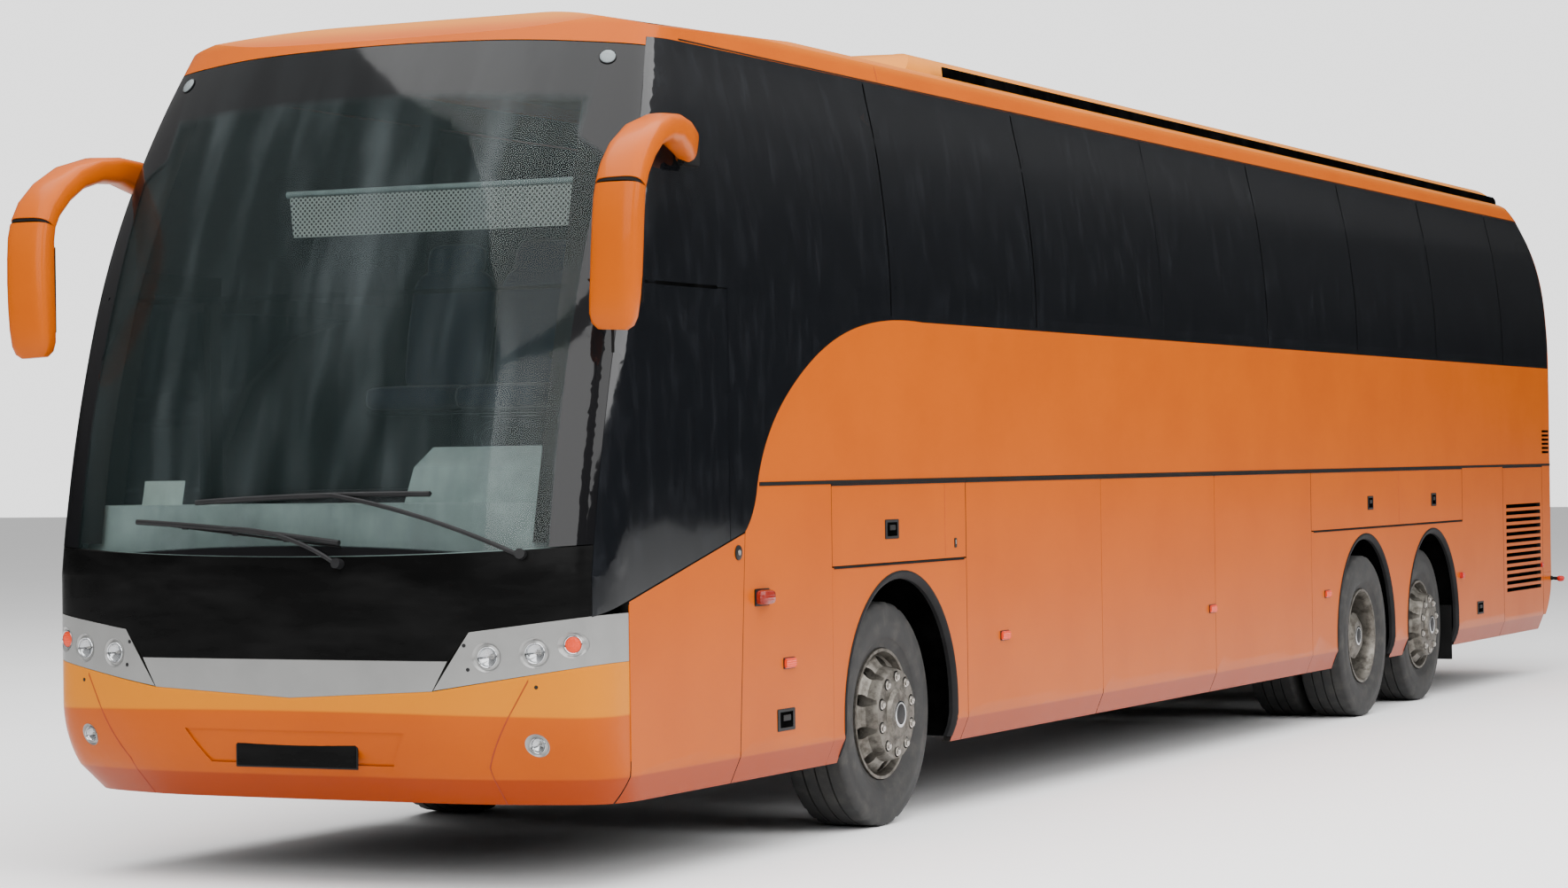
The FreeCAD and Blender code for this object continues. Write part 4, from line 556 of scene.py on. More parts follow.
class Shape:
    """Faces that are gathered, then closed as one piece on a body."""

    def __init__(self):
        self.bm = bmesh.new()

    def grid(self, rows, closed=False, caps=False):
        """Skin rows of points; closed rows meet their own start."""
        rings = [[self.bm.verts.new(point) for point in row] for row in rows]
        span = len(rings[0])
        for near, far in zip(rings, rings[1:]):
            for i in range(span if closed else span - 1):
                j = (i + 1) % span
                self.bm.faces.new((near[i], near[j], far[j], far[i]))
        if caps:
            self.bm.faces.new(rings[0][::-1])
            self.bm.faces.new(rings[-1])
        return self

    def block(self, centre, size, soft, turn=(0, 0, 0)):
        """A block with rounded edges, turned by degrees about X, Y and Z."""
        spin = Euler([math.radians(angle) for angle in turn]).to_matrix()
        verts = bmesh.ops.create_cube(self.bm, size=1.0)["verts"]
        for vert in verts:
            vert.co = Vector(centre) + spin @ Vector([a * b for a, b in zip(vert.co, size)])
        edges = list({edge for vert in verts for edge in vert.link_edges})
        bmesh.ops.bevel(self.bm, geom=edges, offset=soft, segments=2, affect="EDGES")
        return self

    def tube(self, route, radius, sides):
        """A round bar along points; radius is one value or one for each point."""
        route = [Vector(point) for point in route]
        radii = radius if isinstance(radius, (list, tuple)) else [radius] * len(route)
        rows = []
        for i, point in enumerate(route):
            ahead = route[min(i + 1, len(route) - 1)] - route[max(i - 1, 0)]
            ahead.normalize()
            up = Vector((1, 0, 0)) if abs(ahead.z) > 0.9 else Vector((0, 0, 1))
            side = ahead.cross(up).normalized()
            rise = side.cross(ahead)
            rows.append([point + radii[i] * (side * math.cos(a) + rise * math.sin(a))
                         for a in (math.tau * k / sides for k in range(sides))])
        return self.grid(rows, closed=True, caps=True)

    def lathe(self, profile, centre, axis, steps, wave=None, loop=False):
        """Spin (along, radius) points about an axis; wave adds to a radius by step and point."""
        axis = Vector(axis).normalized()
        side = axis.orthogonal().normalized()
        rise = axis.cross(side)
        rows = []
        for step in range(steps):
            angle = math.tau * step / steps
            out = side * math.cos(angle) + rise * math.sin(angle)
            rows.append([Vector(centre) + axis * along
                         + out * (radius + (wave(step, number) if wave else 0))
                         for number, (along, radius) in enumerate(profile)])
        rows.append(rows[0])
        return self.grid(rows, closed=loop)

    def pillow(self, centre, size, turn=(0, 0, 0), power=0.42, steps=(10, 20)):
        """A crowned closed pad: a rounded box whose sides bulge."""
        spin = Euler([math.radians(angle) for angle in turn]).to_matrix()
        half = Vector(size) / 2

        def bent(value):
            return math.copysign(abs(value) ** power, value)
        rows = []
        for i in range(steps[0] + 1):
            tilt = math.pi * (i / steps[0] - 0.5)
            row = []
            for k in range(steps[1]):
                turn_by = math.tau * (k + 0.5) / steps[1]
                row.append(Vector(centre) + spin @ Vector((
                    half.x * bent(math.cos(tilt)) * bent(math.cos(turn_by)),
                    half.y * bent(math.cos(tilt)) * bent(math.sin(turn_by)),
                    half.z * bent(math.sin(tilt)))))
            rows.append(row)
        return self.grid(rows, closed=True)

    def piece(self, name, body, material, slot=None, angle=35.0):
        """One smooth piece on a body, with its faces outwards."""
        bmesh.ops.remove_doubles(self.bm, verts=self.bm.verts, dist=0.00001)
        bmesh.ops.dissolve_degenerate(self.bm, dist=0.000005, edges=self.bm.edges)
        bmesh.ops.recalc_face_normals(self.bm, faces=self.bm.faces)
        mesh = bpy.data.meshes.new(name)
        self.bm.to_mesh(mesh)
        self.bm.free()
        smooth(mesh, angle)
        mesh.materials.append(finish(material))
        made = bpy.data.objects.new(name, mesh)
        bpy.context.scene.collection.objects.link(made)
        return put(made, body) if body else made


def bar(name, rows, body, material, slot=None, angle=35.0):
    """A piece skinned over closed rings of points, with flat ends."""
    return Shape().grid(rows, closed=True, caps=True).piece(name, body, material, slot, angle)


def turned(name, profile, place, axis, steps, body, material, loop=False, angle=35.0):
    """A piece turned from (along, radius) points about an axis."""
    return Shape().lathe(profile, place, axis, steps, loop=loop).piece(
        name, body, material, angle=angle)


def slab(name, centre, size, soft, body, material, turn=(0, 0, 0)):
    """A block with rounded edges as a piece of its own."""
    return Shape().block(centre, size, soft, turn).piece(name, body, material)


def dense(points, step):
    """A line's points with more between them, about a step apart."""
    line = [tuple(points[0])]
    for start, end in zip(points, points[1:]):
        count = max(1, round(math.dist(start, end) / step))
        line += [tuple(a + (b - a) * k / count for a, b in zip(start, end))
                 for k in range(1, count + 1)]
    return line


# The outer skin, found by casting lines onto it

PAINTED = both_hands("side_wall", "lower_panels", "wheel_flap", "bogie_flap", "engine_door",
                     "luggage_door_1", "luggage_door_2", "luggage_door_3") + [
    "roof", "service_flap_left", "rear_wall", "engine_lid", "rear_corners", "rear_bumper",
    "roof_cooler", "entrance_door"]
SKIN_NODES = PAINTED + both_hands("side_glass") + [
    "front_bumper", "front_mask", "lamp_panels", "windscreen", "rear_window"]


def skin_tree():
    """A search tree of the skin's faces, and the node that each face is of."""
    verts = []
    faces = []
    owners = []
    for name in SKIN_NODES:
        mesh = NODES[name].data
        first = len(verts)
        verts += [vert.co.copy() for vert in mesh.vertices]
        faces += [[first + i for i in face.vertices] for face in mesh.polygons]
        owners += [name] * len(mesh.polygons)
    return BVHTree.FromPolygons(verts, faces), owners


SKIN, OWNERS = skin_tree()


# How far off the middle the lines onto a side and onto the front start.
OFF_SIDE = 2.4
OFF_FRONT = 9.0


def cast(start, way):
    """Where a line meets the skin, the normal towards the line's start, and the body there."""
    way = Vector(way)
    point, normal, number, _ = SKIN.ray_cast(Vector(start), way)
    if point is None:
        return Vector(start) + way * OFF_SIDE, -way, "root"
    if normal.dot(way) > 0:
        normal = -normal
    return point, normal, NODES[OWNERS[number]]["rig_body"]


def on_side(side, y, z):
    """A place on a side's skin."""
    return cast((side * OFF_SIDE, y, z), (-side, 0, 0))


def on_front(x, z):
    """A place on the front's skin."""
    return cast((x, -OFF_FRONT, z), (0, 1, 0))


def dress(node, material, inner):
    """A smooth, welded copy of a CAD node; faces that look at the coach itself get the inner
    finish, a dark liner for the inside of the body and painted shade in the gaps between panels.
    """
    source = NODES[node]
    mesh = source.data.copy()
    mesh.materials.clear()
    mesh.materials.append(finish(material))
    if inner:
        mesh.materials.append(finish(inner))
    bm = bmesh.new()
    bm.from_mesh(mesh)
    bmesh.ops.remove_doubles(bm, verts=bm.verts, dist=0.00003)
    bmesh.ops.dissolve_degenerate(bm, dist=0.00001, edges=bm.edges)
    bm.normal_update()
    for face in bm.faces:
        face.material_index = 0
        # Faces that look at the coach itself take the dark inner finish, painted shade in the
        # gaps; the roof's upward faces keep the paint.
        if inner and not (node == "roof" and face.normal.z > 0.3):
            start = face.calc_center_median() + face.normal * 0.0015
            hit = SKIN.ray_cast(start, face.normal, 2.7)[0]
            face.material_index = 0 if hit is None else 1
    bm.to_mesh(mesh)
    bm.free()
    smooth(mesh, 28.0)
    piece = bpy.data.objects.new("shell_" + node, mesh)
    bpy.context.scene.collection.objects.link(piece)
    if "custom_normal" in mesh.attributes:
        mesh.attributes.remove(mesh.attributes["custom_normal"])
    weigh = piece.modifiers.new("weigh", "WEIGHTED_NORMAL")
    weigh.keep_sharp = True
    weigh.weight = 60
    flat = bpy.data.meshes.new_from_object(
        piece.evaluated_get(bpy.context.evaluated_depsgraph_get()))
    piece.modifiers.clear()
    piece.data = flat
    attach(piece, source["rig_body"])
    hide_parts(node)
    for entry in frame["record"]["subparts"]:
        entry["node"] == node
    return piece


# What repeats in a row or a ring

def repeat_tree(kind):
    """Geometry nodes that repeat a piece along a line, or round a ring in the YZ plane."""
    tree = bpy.data.node_groups.new("repeat_" + kind, "GeometryNodeTree")
    ring = kind == "ring"
    inputs = (("Geometry", "Geometry"), ("Count", "Int"), ("Reach", "Float" if ring else "Vector"),
              ("Centre", "Vector"), ("Material", "Material"))
    for name, sort in inputs:
        tree.interface.new_socket(name, in_out="INPUT", socket_type="NodeSocket" + sort)
    tree.interface.new_socket("Geometry", in_out="OUTPUT", socket_type="NodeSocketGeometry")
    made = Nodes(tree)
    given = made.node("NodeGroupInput").outputs
    if ring:
        places = made.node("GeometryNodeMeshCircle", Vertices=given["Count"],
                           Radius=given["Reach"])
    else:
        places = made.node("GeometryNodeMeshLine", Count=given["Count"], Offset=given["Reach"])
    settle = made.node("GeometryNodeTransform", Geometry=places.outputs["Mesh"],
                       Translation=given["Centre"],
                       Rotation=(0, math.pi / 2, 0) if ring else (0, 0, 0))
    copies = made.node("GeometryNodeInstanceOnPoints", Points=settle.outputs["Geometry"],
                       Instance=given["Geometry"])
    real = made.node("GeometryNodeRealizeInstances", Geometry=copies.outputs["Instances"])
    colour = made.node("GeometryNodeSetMaterial", Geometry=real.outputs["Geometry"],
                       Material=given["Material"])
    made.node("NodeGroupOutput", Geometry=colour.outputs["Geometry"])
    return tree


TREES = {}


def repeated(obj, body, kind, count, reach, centre, material):
    """Repeat a piece drawn about the origin, and keep the result as its plain mesh."""
    if kind not in TREES:
        TREES[kind] = repeat_tree(kind)
    given = {"Count": count, "Reach": reach, "Centre": centre, "Material": finish(material)}
    modifier = obj.modifiers.new("repeat", "NODES")
    modifier.node_group = TREES[kind]
    for item in TREES[kind].interface.items_tree:
        if item.name in given:
            modifier[item.identifier] = given[item.name]
    obj.data.update()
    graph = bpy.context.evaluated_depsgraph_get()
    flat = bpy.data.meshes.new_from_object(obj.evaluated_get(graph))
    obj.modifiers.clear()
    obj.data = flat
    put(obj, body)


# Strips and seals along the skin

def side_edges(side, y, z, across):
    """Skin points at the edges of a strip on a side, kept out of deep gaps."""
    near = on_side(side, y - across.x, z - across.y)[0]
    far = on_side(side, y + across.x, z + across.y)[0]
    level = max(near.x * side, far.x * side)
    for point in (near, far):
        point.x = side * max(point.x * side, level - 0.006)
    return near, far


def front_edges(x, z, across):
    """Skin points at the edges of a strip on the front, level with the skin beside it."""
    near = on_front(x - across.x, z - across.y)[0]
    far = on_front(x + across.x, z + across.y)[0]
    level = min(on_front(x + across.x * reach, z + across.y * reach)[0].y for reach in (-3, 3))
    for point in (near, far):
        point.y = min(point.y, level + 0.001)
    return near, far


def strip(name, side, ends, width, proud, material="rubber", body="root", sink=0.004, step=0.2):
    """A strip through (y, z) points of a side, or (x, z) points of the front where side is 0."""
    rows = []
    route = dense(ends, step)
    out = Vector((side, 0, 0)) if side else Vector((0, -1, 0))
    for i, (along, z) in enumerate(route):
        before = route[max(i - 1, 0)]
        after = route[min(i + 1, len(route) - 1)]
        run = Vector((after[0] - before[0], after[1] - before[1])).normalized()
        across = Vector((-run.y, run.x)) * width / 2
        near, far = side_edges(side, along, z, across) if side else front_edges(along, z, across)
        rows.append([near - out * sink, near + out * proud, far + out * proud, far - out * sink])
    return bar(name, rows, body, material)


def gap_near(side, y, z):
    """Middle and half width of the gap between two panels near a place."""
    outer = max(abs(on_side(side, y + reach, z)[0].x) for reach in (-0.03, 0.03))
    steps = [y + k / 1000 for k in range(-22, 23)]
    open_at = [at for at in steps if abs(on_side(side, at, z)[0].x) < outer - 0.008]
    if not open_at:
        return y, 0.002
    return (open_at[0] + open_at[-1]) / 2, (open_at[-1] - open_at[0]) / 2 + 0.0002


def seal(name, side, foot, head, material="rubber"):
    """A soft strip in the gap between two panels, flush with them, between (y, z) ends."""
    rows = []
    for y, z in dense([foot, head], 0.11):
        middle, half = gap_near(side, y, z)
        half = min(half, 0.004)
        x = min(abs(on_side(side, middle + reach, z)[0].x) for reach in (-0.02, 0.02)) - 0.0007
        rows.append([(side * (x - 0.02), middle - half, z), (side * x, middle - half, z),
                     (side * x, middle + half, z), (side * (x - 0.02), middle + half, z)])
    return bar(name, rows, "root", material)


# Shells

# The second finish of each key goes on faces that look at the coach itself: a dark liner that is
# painted shade in the gaps between panels.
SHELLS = {
    ("orange", "liner"): PAINTED,
    ("bumper_orange", None): ["front_bumper"],
    ("mask_black", "liner"): ["front_mask"],
    ("silver", "liner"): ["lamp_panels"],
    ("side_glass", None): both_hands("side_glass") + ["rear_window"],
    ("screen_glass", None): ["windscreen"],
    ("tail_lens", None): ["tail_lamps"],
    ("wheel_steel", None): both_hands("rim_front", "rim_drive", "rim_tag"),
    ("trim", None): ["wipers", "steering_wheel"],
    ("frame_steel", None): ["chassis_frame"],
    ("axle_iron", None): ["front_axle", "drive_axle", "tag_axle"] + both_hands("knuckle"),
    ("engine_iron", None): ["engine_block"],
    ("vinyl", None): ["floor_deck"],
    ("liner", None): ["bulkheads"],
    ("dash", None): ["dashboard"],
}


class CoachShells(bpy.types.Operator):
    """Smooth copies of the coach's solids, each with its finish"""
    bl_idname = "coach.shells"
    bl_label = "Shells"

    def execute(self, context):
        for (material, inner), nodes in SHELLS.items():
            for node in nodes:
                shell = dress(node, material, inner)
                if material == "orange":
                    blacken_hinge(shell.data)
        return {"FINISHED"}


def blacken_hinge(mesh):
    """The hinge rods under the rail are black."""
    slot = len(mesh.materials)
    mesh.materials.append(finish("rubber"))
    for face in mesh.polygons:
        if abs(face.center.z - RAIL) < 0.0045 and abs(face.center.x) > HALF - 0.01:
            face.material_index = slot


# Trim along the sides

class CoachTrimSizes(bpy.types.PropertyGroup):
    """Sizes of the trim along the sides"""
    rail_height: bpy.props.FloatProperty(
        name="Rail height", description="Middle of the black rail's upper strip", default=1.5527,
        unit="LENGTH")
    rail_width: bpy.props.FloatProperty(
        name="Rail width", description="Height of the rail's upper strip", default=0.0160,
        unit="LENGTH")
    lip_width: bpy.props.FloatProperty(
        name="Arch lip", description="Width of the black lip in each wheel arch", default=0.034,
        unit="LENGTH")


class CoachSideTrim(bpy.types.Operator):
    """Black rail, seals in the gaps, arch lips, gutters and the cooler's slot"""
    bl_idname = "coach.side_trim"
    bl_label = "Side trim"

    def execute(self, context):
        sizes = context.scene.coach_trim
        for side, hand in SIDES:
            strip("rail_" + hand, side, [(-5.93, sizes.rail_height), (7.45, sizes.rail_height)],
                  sizes.rail_width, 0.003)
            seals(side, hand)
            arches(side, hand, sizes.lip_width)
            roof_lines(side, hand)
        return {"FINISHED"}


# Places along Y of the seams between panels and between panes.
PLAIN_SEAMS = (-1.985, -0.2155)
DARK_SEAMS = (-5.231, -3.757, 1.555, 6.067)
PANE_SEAMS = (-4.574, -2.83, -0.999, 0.781, 2.56, 4.371, 6.126)
PANEL_FOOT = 0.36
PANEL_HEAD = 1.53
FLAP_SILL = 1.1835


def seals(side, hand):
    """Seals between panels: dark ones, and body-coloured ones between the luggage doors."""
    for title, seams, material in (("seal", DARK_SEAMS, "rubber"),
                                   ("door_seal", PLAIN_SEAMS, "orange")):
        for n, y in enumerate(seams):
            seal("%s_%d_%s" % (title, n, hand), side, (y, PANEL_FOOT), (y, PANEL_HEAD), material)
    if side > 0:
        seal("seal_flap_left", side, (-6.150, PANEL_FOOT), (-6.063, 1.33))
        seal("seal_nose_left", side, (-7.079, PANEL_FOOT), (-7.079, 1.09))
    for n, y in enumerate(PANE_SEAMS):
        strip("pane_seal_%d_%s" % (n, hand), side, [(y, 2.29), (y, 3.335)], 0.012, 0.0005,
              "black_hole", step=0.1)
    strip("pane_seam_" + hand, side, [(-7.10, 2.351), (-6.29, 2.351)], 0.014, 0.0006,
          "black_hole", step=0.1)
    for title, start, end in (("flap_line_", -5.215, -3.78), ("bogie_line_", 1.60, 4.965)):
        strip(title + hand, side, [(start, FLAP_SILL), (end, FLAP_SILL)], 0.0125, 0.003)
    for n, (panel, y) in enumerate((("wheel_flap_", -4.0), ("bogie_flap_", 3.43))):
        strip("flap_seam_%d_%s" % (n, hand), side, [(y, 1.20), (y, 1.532)], 0.0035, 0.0004,
              "seam_red", panel + hand, 0.002, 0.1)


ARCH_TURNS = 36


def arch_point(side, place, k, radius, depth):
    """A point at a depth, round a wheel arch; k steps round it, then down a short foot."""
    turn = min(max(k, 0), ARCH_TURNS)
    angle = math.pi * turn / ARCH_TURNS
    foot = 0.055 * abs(k - turn)
    return Vector((side * depth, place + math.cos(angle) * radius,
                   HUB + 0.020 + math.sin(angle) * radius - foot))


def arches(side, hand, lip):
    """A rubber lip and a dark liner in each wheel arch; the liner's near black is painted shade
    inside the arch.
    """
    for name, place in AXLES.items():
        lips = []
        liners = []
        for k in range(-3, ARCH_TURNS + 4):
            beside = arch_point(side, place, k, ARCH + 0.012, 0)
            skin = min(abs(on_side(side, beside.y, beside.z)[0].x), HALF)
            section = ((0.004, 0.002), (-0.006, 0.006), (-lip * 0.6, 0.002), (-lip, -0.012),
                       (-lip, -0.030), (-0.002, -0.030))
            lips.append([arch_point(side, place, k, ARCH + wider, skin + proud)
                         for wider, proud in section])
            section = ((-0.004, skin - 0.030), (-0.004, 0.70), (0.002, 0.70),
                       (0.002, skin - 0.045))
            liners.append([arch_point(side, place, k, ARCH + wider, depth)
                           for wider, depth in section])
        bar("arch_lip_%s_%s" % (name, hand), lips, "root", "lip_rubber")
        # The liner is near black: painted shade inside the arch over the liner's own dark colour.
        bar("arch_liner_%s_%s" % (name, hand), liners, "root", "black_hole")


SLOT_HEIGHT = 3.497


def roof_lines(side, hand):
    """The gutter groove over the panes, and the slot along the cooler with its tabs, near black as
    painted shade in the slot.
    """
    gutter = [(-6.35, 3.357), (-5.6, 3.3545), (-4.3, 3.353), (7.02, 3.353)]
    strip("gutter_" + hand, side, gutter, 0.006, 0.002)
    strip("roof_joint_" + hand, side, [(-4.40, 3.362), (-4.40, 3.44)], 0.004, 0.0006, "seam_red",
          step=0.02)
    # Painted shade: the slot along the cooler is a near-black strip.
    strip("cooler_slot_" + hand, side, [(-3.45, SLOT_HEIGHT), (7.05, SLOT_HEIGHT)], 0.050, 0.0015,
          "black_hole", sink=0.006, step=0.3)
    spot = on_side(side, 0.0, SLOT_HEIGHT)[0]
    tab = slab("cooler_tabs_" + hand, (0, 0, 0), (0.006, 0.055, 0.010), 0.002, None, "silver")
    repeated(tab, "root", "row", 44, (0, 0.235, 0),
             (spot.x + side * 0.002, -3.30, SLOT_HEIGHT - 0.010), "silver")


# Small fittings on the sides

def plate(name, side, y, z, size, proud, soft, material):
    """A small block on a side's skin, riding with the panel that it is on."""
    point, _, body = on_side(side, y, z)
    depth = proud + 0.006
    centre = point + Vector((side * (proud - depth / 2), 0, 0))
    return slab(name, centre, (depth, size[0], size[1]), soft, body, material)


class CoachFittings(bpy.types.Operator):
    """Latches, locks, vents, side lamps, grille backs and the corner lamps"""
    bl_idname = "coach.fittings"
    bl_label = "Side fittings"

    def execute(self, context):
        for side, hand in SIDES:
            latches(side, hand)
            side_lamps(side, hand)
            grille_backs(side, hand)
            stalk_lamp(side, hand)
        return {"FINISHED"}


MARKERS = (-5.67, -3.295, -0.27, 1.86)
MARKER_HEIGHT = 0.80
# Each pull's name, y, z, width and height.
PULLS = (("flap", -4.60, 1.337, 0.150, 0.088), ("bogie_a", 2.79, 1.339, 0.125, 0.088),
         ("bogie_b", 4.254, 1.339, 0.125, 0.088), ("vent_a", -5.705, 0.565, 0.170, 0.094),
         ("vent_b", 5.41, 0.568, 0.170, 0.091))


def latches(side, hand):
    """Black pull latches, key holes, vents and the oval lock."""
    for name, y, z, width, height in PULLS:
        tail = "_%s_%s" % (name, hand)
        plate("latch" + tail, side, y, z, (width, height), 0.003, 0.0025, "trim")
        # The near-black well in each latch is painted shade in its recess.
        plate("latch_well" + tail, side, y, z, (width * 0.72, height * 0.72), 0.0036, 0.001,
              "black_hole")
        plate("latch_pull" + tail, side, y, z + height * 0.08, (width * 0.42, height * 0.26),
              0.006, 0.002, "trim")
    plate("keyhole_" + hand, side, -3.88, 1.258, (0.030, 0.046), 0.003, 0.0025, "trim")
    plate("keyway_" + hand, side, -3.88, 1.262, (0.010, 0.020), 0.0045, 0.001, "bolt_steel")
    if side > 0:
        point, normal, body = on_side(side, -6.133, 1.275)
        turned("oval_lock", [(-0.004, 0.0), (-0.004, 0.031), (0.004, 0.031), (0.006, 0.026),
                             (0.006, 0.0)], point, normal, 24, body, "trim")
        turned("oval_lock_barrel", [(0.003, 0.0), (0.003, 0.012), (0.0085, 0.011), (0.0085, 0.0)],
               point, normal, 20, body, "bolt_steel")


def side_lamps(side, hand):
    """Small amber and red markers along the side, and the dark red lamp behind the door."""
    for n, y in enumerate(MARKERS):
        plate("marker_base_%d_%s" % (n, hand), side, y, MARKER_HEIGHT, (0.112, 0.048), 0.004,
              0.003, "trim")
        plate("marker_%d_%s" % (n, hand), side, y, MARKER_HEIGHT, (0.104, 0.041), 0.013, 0.005,
              "amber_lens")
    plate("marker_tag_" + hand, side, 4.915, 0.81, (0.060, 0.040), 0.022, 0.006, "red_lens")
    plate("marker_tail_" + hand, side, 7.165, 0.812, (0.046, 0.036), 0.010, 0.004, "red_lens")
    point, _, body = on_side(side, -5.92, 1.085)
    lamp = Shape().pillow(point + Vector((side * 0.012, 0, 0)), (0.066, 0.128, 0.062), power=0.55)
    lamp.piece("side_repeater_" + hand, body, "dark_red_lens")
    plate("repeater_base_" + hand, side, -5.92, 1.085, (0.140, 0.072), 0.006, 0.004, "trim")


GRILLE_PLANE = 1.2405


def grille_backs(side, hand):
    """Black sheets behind the slots of the engine door and of the tail vent: painted shade seen
    through the slots.
    """
    # Painted shade: near-black sheets where the slots would show shade.
    for name, y, z, width, height, body in (
            ("grille", 6.645, 0.972, 1.02, 0.67, "engine_door_" + hand),
            ("vent", 7.315, 1.722, 0.19, 0.20, "root")):
        slab("%s_back_%s" % (name, hand), (side * GRILLE_PLANE, y, z), (0.004, width, height),
             0.001, body, "black_hole")


def stalk_lamp(side, hand):
    """The marker lamp on a rubber arm at a rear corner."""
    root = Vector((side * 1.262, 7.44, 0.705))
    tip = Vector((side * 1.335, 7.447, 0.700))
    Shape().tube([root, root.lerp(tip, 0.4), tip], [0.024, 0.012, 0.014], 14).piece(
        "stalk_arm_" + hand, "root", "rubber")
    turned("stalk_lens_" + hand, [(-0.012, 0.0), (-0.010, 0.018), (0.0, 0.022), (0.016, 0.022),
                                  (0.030, 0.019), (0.037, 0.010), (0.039, 0.0)], tip,
           (side, 0, 0), 24, "root", "red_lens")


# The front

# Each lamp's x, z and radius.
LAMPS = ((0.865, 0.915, 0.058), (1.045, 0.930, 0.058), (1.180, 0.960, 0.050))
FOG_LAMP = (1.040, 0.578, 0.045)
# The line of the bumper's corner seam, and the places of small front fittings, as x and z.
CORNER_SEAM = ((1.020, 0.825), (0.836, 0.490), (0.824, 0.335))
SCREWS = ((0.775, 0.960), (0.790, 0.868), (1.050, 0.801))
ROOF_MARKER = (1.006, 3.262)
PLATE_HEIGHT = 0.548


def rim_of_hole(x, z, radius, turns=40):
    """Points on the front's skin just outside a round hole, its centre and the normal there."""
    ring = []
    out = Vector()
    for k in range(turns):
        angle = math.tau * k / turns
        across = math.cos(angle) * radius
        rise = math.sin(angle) * radius
        point, normal, _ = on_front(x + across * 1.06, z + rise * 1.06)
        ring.append(Vector((x + across, point.y, z + rise)))
        out += normal
    return ring, sum(ring, Vector()) / turns, out.normalized()


def round_lamp(name, x, z, radius, lens_name, bowl=True):
    """A lamp unit in a dish that runs from its hole in the skin to the unit's own ring."""
    ring, middle, normal = rim_of_hole(x, z, radius)
    axis = (normal + Vector((0, -1.0, 0))).normalized()
    seat = middle - axis * 0.006
    unit = radius * 0.70
    flat = axis.cross(Vector((0, 0, 1))).normalized()
    rise = flat.cross(axis)
    rows = []
    for point in ring:
        arm = point - middle
        way = (flat * arm.dot(flat) + rise * arm.dot(rise)).normalized()
        inner = seat + way * unit
        rows.append([point + Vector((0, 0.020, 0)), point + Vector((0, -0.0008, 0)),
                     point.lerp(inner, 0.10) + axis * 0.0012,
                     point.lerp(inner, 0.55) - axis * 0.004,
                     inner, seat + way * unit * 0.94 - axis * 0.016])
    rows.append(rows[0])
    dish = Shape().grid(rows).piece(name + "_dish", "root", "silver")
    turned(name + "_bezel", [(-0.010, unit * 1.00), (0.003, unit * 1.02), (0.005, unit * 0.97),
                             (0.003, unit * 0.90), (-0.010, unit * 0.88)], seat, axis, 48,
           "root", "reflector", loop=True)
    if bowl:
        curve = [(-0.55 * unit + 0.55 * unit * (t / 8) ** 2, unit * (0.14 + 0.76 * t / 8))
                 for t in range(9)]
        back = [(-0.002, unit * 0.93), (-0.60 * unit, unit * 0.12), (-0.60 * unit, 0.0),
                (-0.55 * unit, 0.0)]
        turned(name + "_bowl", curve + back, seat, axis, 40, "root", "reflector", angle=60)
        bulb = [(-0.55, 0.0), (-0.55, 0.13), (-0.25, 0.12), (-0.16, 0.07), (-0.14, 0.0)]
        turned(name + "_bulb", [(along * unit, reach * unit) for along, reach in bulb], seat,
               axis, 20, "root", "bolt_steel")
    dome = [(-0.002, unit * 0.93), (0.001, unit * 0.90)]
    for t in (5, 4, 3, 2, 1, 0):
        tilt = t * math.pi / 12
        dome.append((0.13 * unit * math.cos(tilt) + 0.001, unit * 0.90 * math.sin(tilt)))
    turned(name + "_lens", dome, seat, axis, 40, "root", lens_name, angle=60)
    return dish


class CoachFront(bpy.types.Operator):
    """Lamps, marker lamps, bumper seams, screws, the blank plate and wiper rubbers"""
    bl_idname = "coach.front"
    bl_label = "Front fittings"

    def execute(self, context):
        for side, hand in SIDES:
            for n, (x, z, radius) in enumerate(LAMPS):
                last = n == len(LAMPS) - 1
                round_lamp("headlamp_%d_%s" % (n, hand), side * x, z, radius,
                           "amber_lens" if last else "clear_lens", not last)
            x, z, radius = FOG_LAMP
            dish = round_lamp("fog_lamp_" + hand, side * x, z, radius, "clear_lens")
            strip("bumper_seam_" + hand, 0, [(side * x, z) for x, z in CORNER_SEAM], 0.0045,
                  0.0006, "seam_red", sink=0.003, step=0.06)
            front_screws(side, hand)
            roof_marker(side, hand)
        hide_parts("front_lamps")
        blank_plate()
        wiper_blades()
        return {"FINISHED"}


def roof_marker(side, hand):
    """A round marker lamp in its ring, over the windscreen's corner."""
    point, normal, _ = on_front(side * ROOF_MARKER[0], ROOF_MARKER[1])
    turned("roof_marker_" + hand, [(-0.004, 0.0), (-0.004, 0.034), (0.003, 0.033), (0.006, 0.027),
                                   (0.008, 0.012), (0.0085, 0.0)], point, normal, 32, "root",
           "marker_lens", angle=60)
    turned("roof_marker_ring_" + hand, [(-0.003, 0.033), (0.004, 0.036), (0.005, 0.034),
                                        (0.003, 0.031)], point, normal, 32, "root", "trim",
           loop=True)


def front_screws(side, hand):
    """Black screws at the lamp panel's corners and the eyelet under it."""
    for n, (x, z) in enumerate(SCREWS):
        point, normal, _ = on_front(side * x, z)
        turned("front_screw_%d_%s" % (n, hand),
               [(-0.003, 0.0), (-0.003, 0.0075), (0.0015, 0.0075), (0.003, 0.005), (0.003, 0.0)],
               point, normal, 20, "root", "trim")


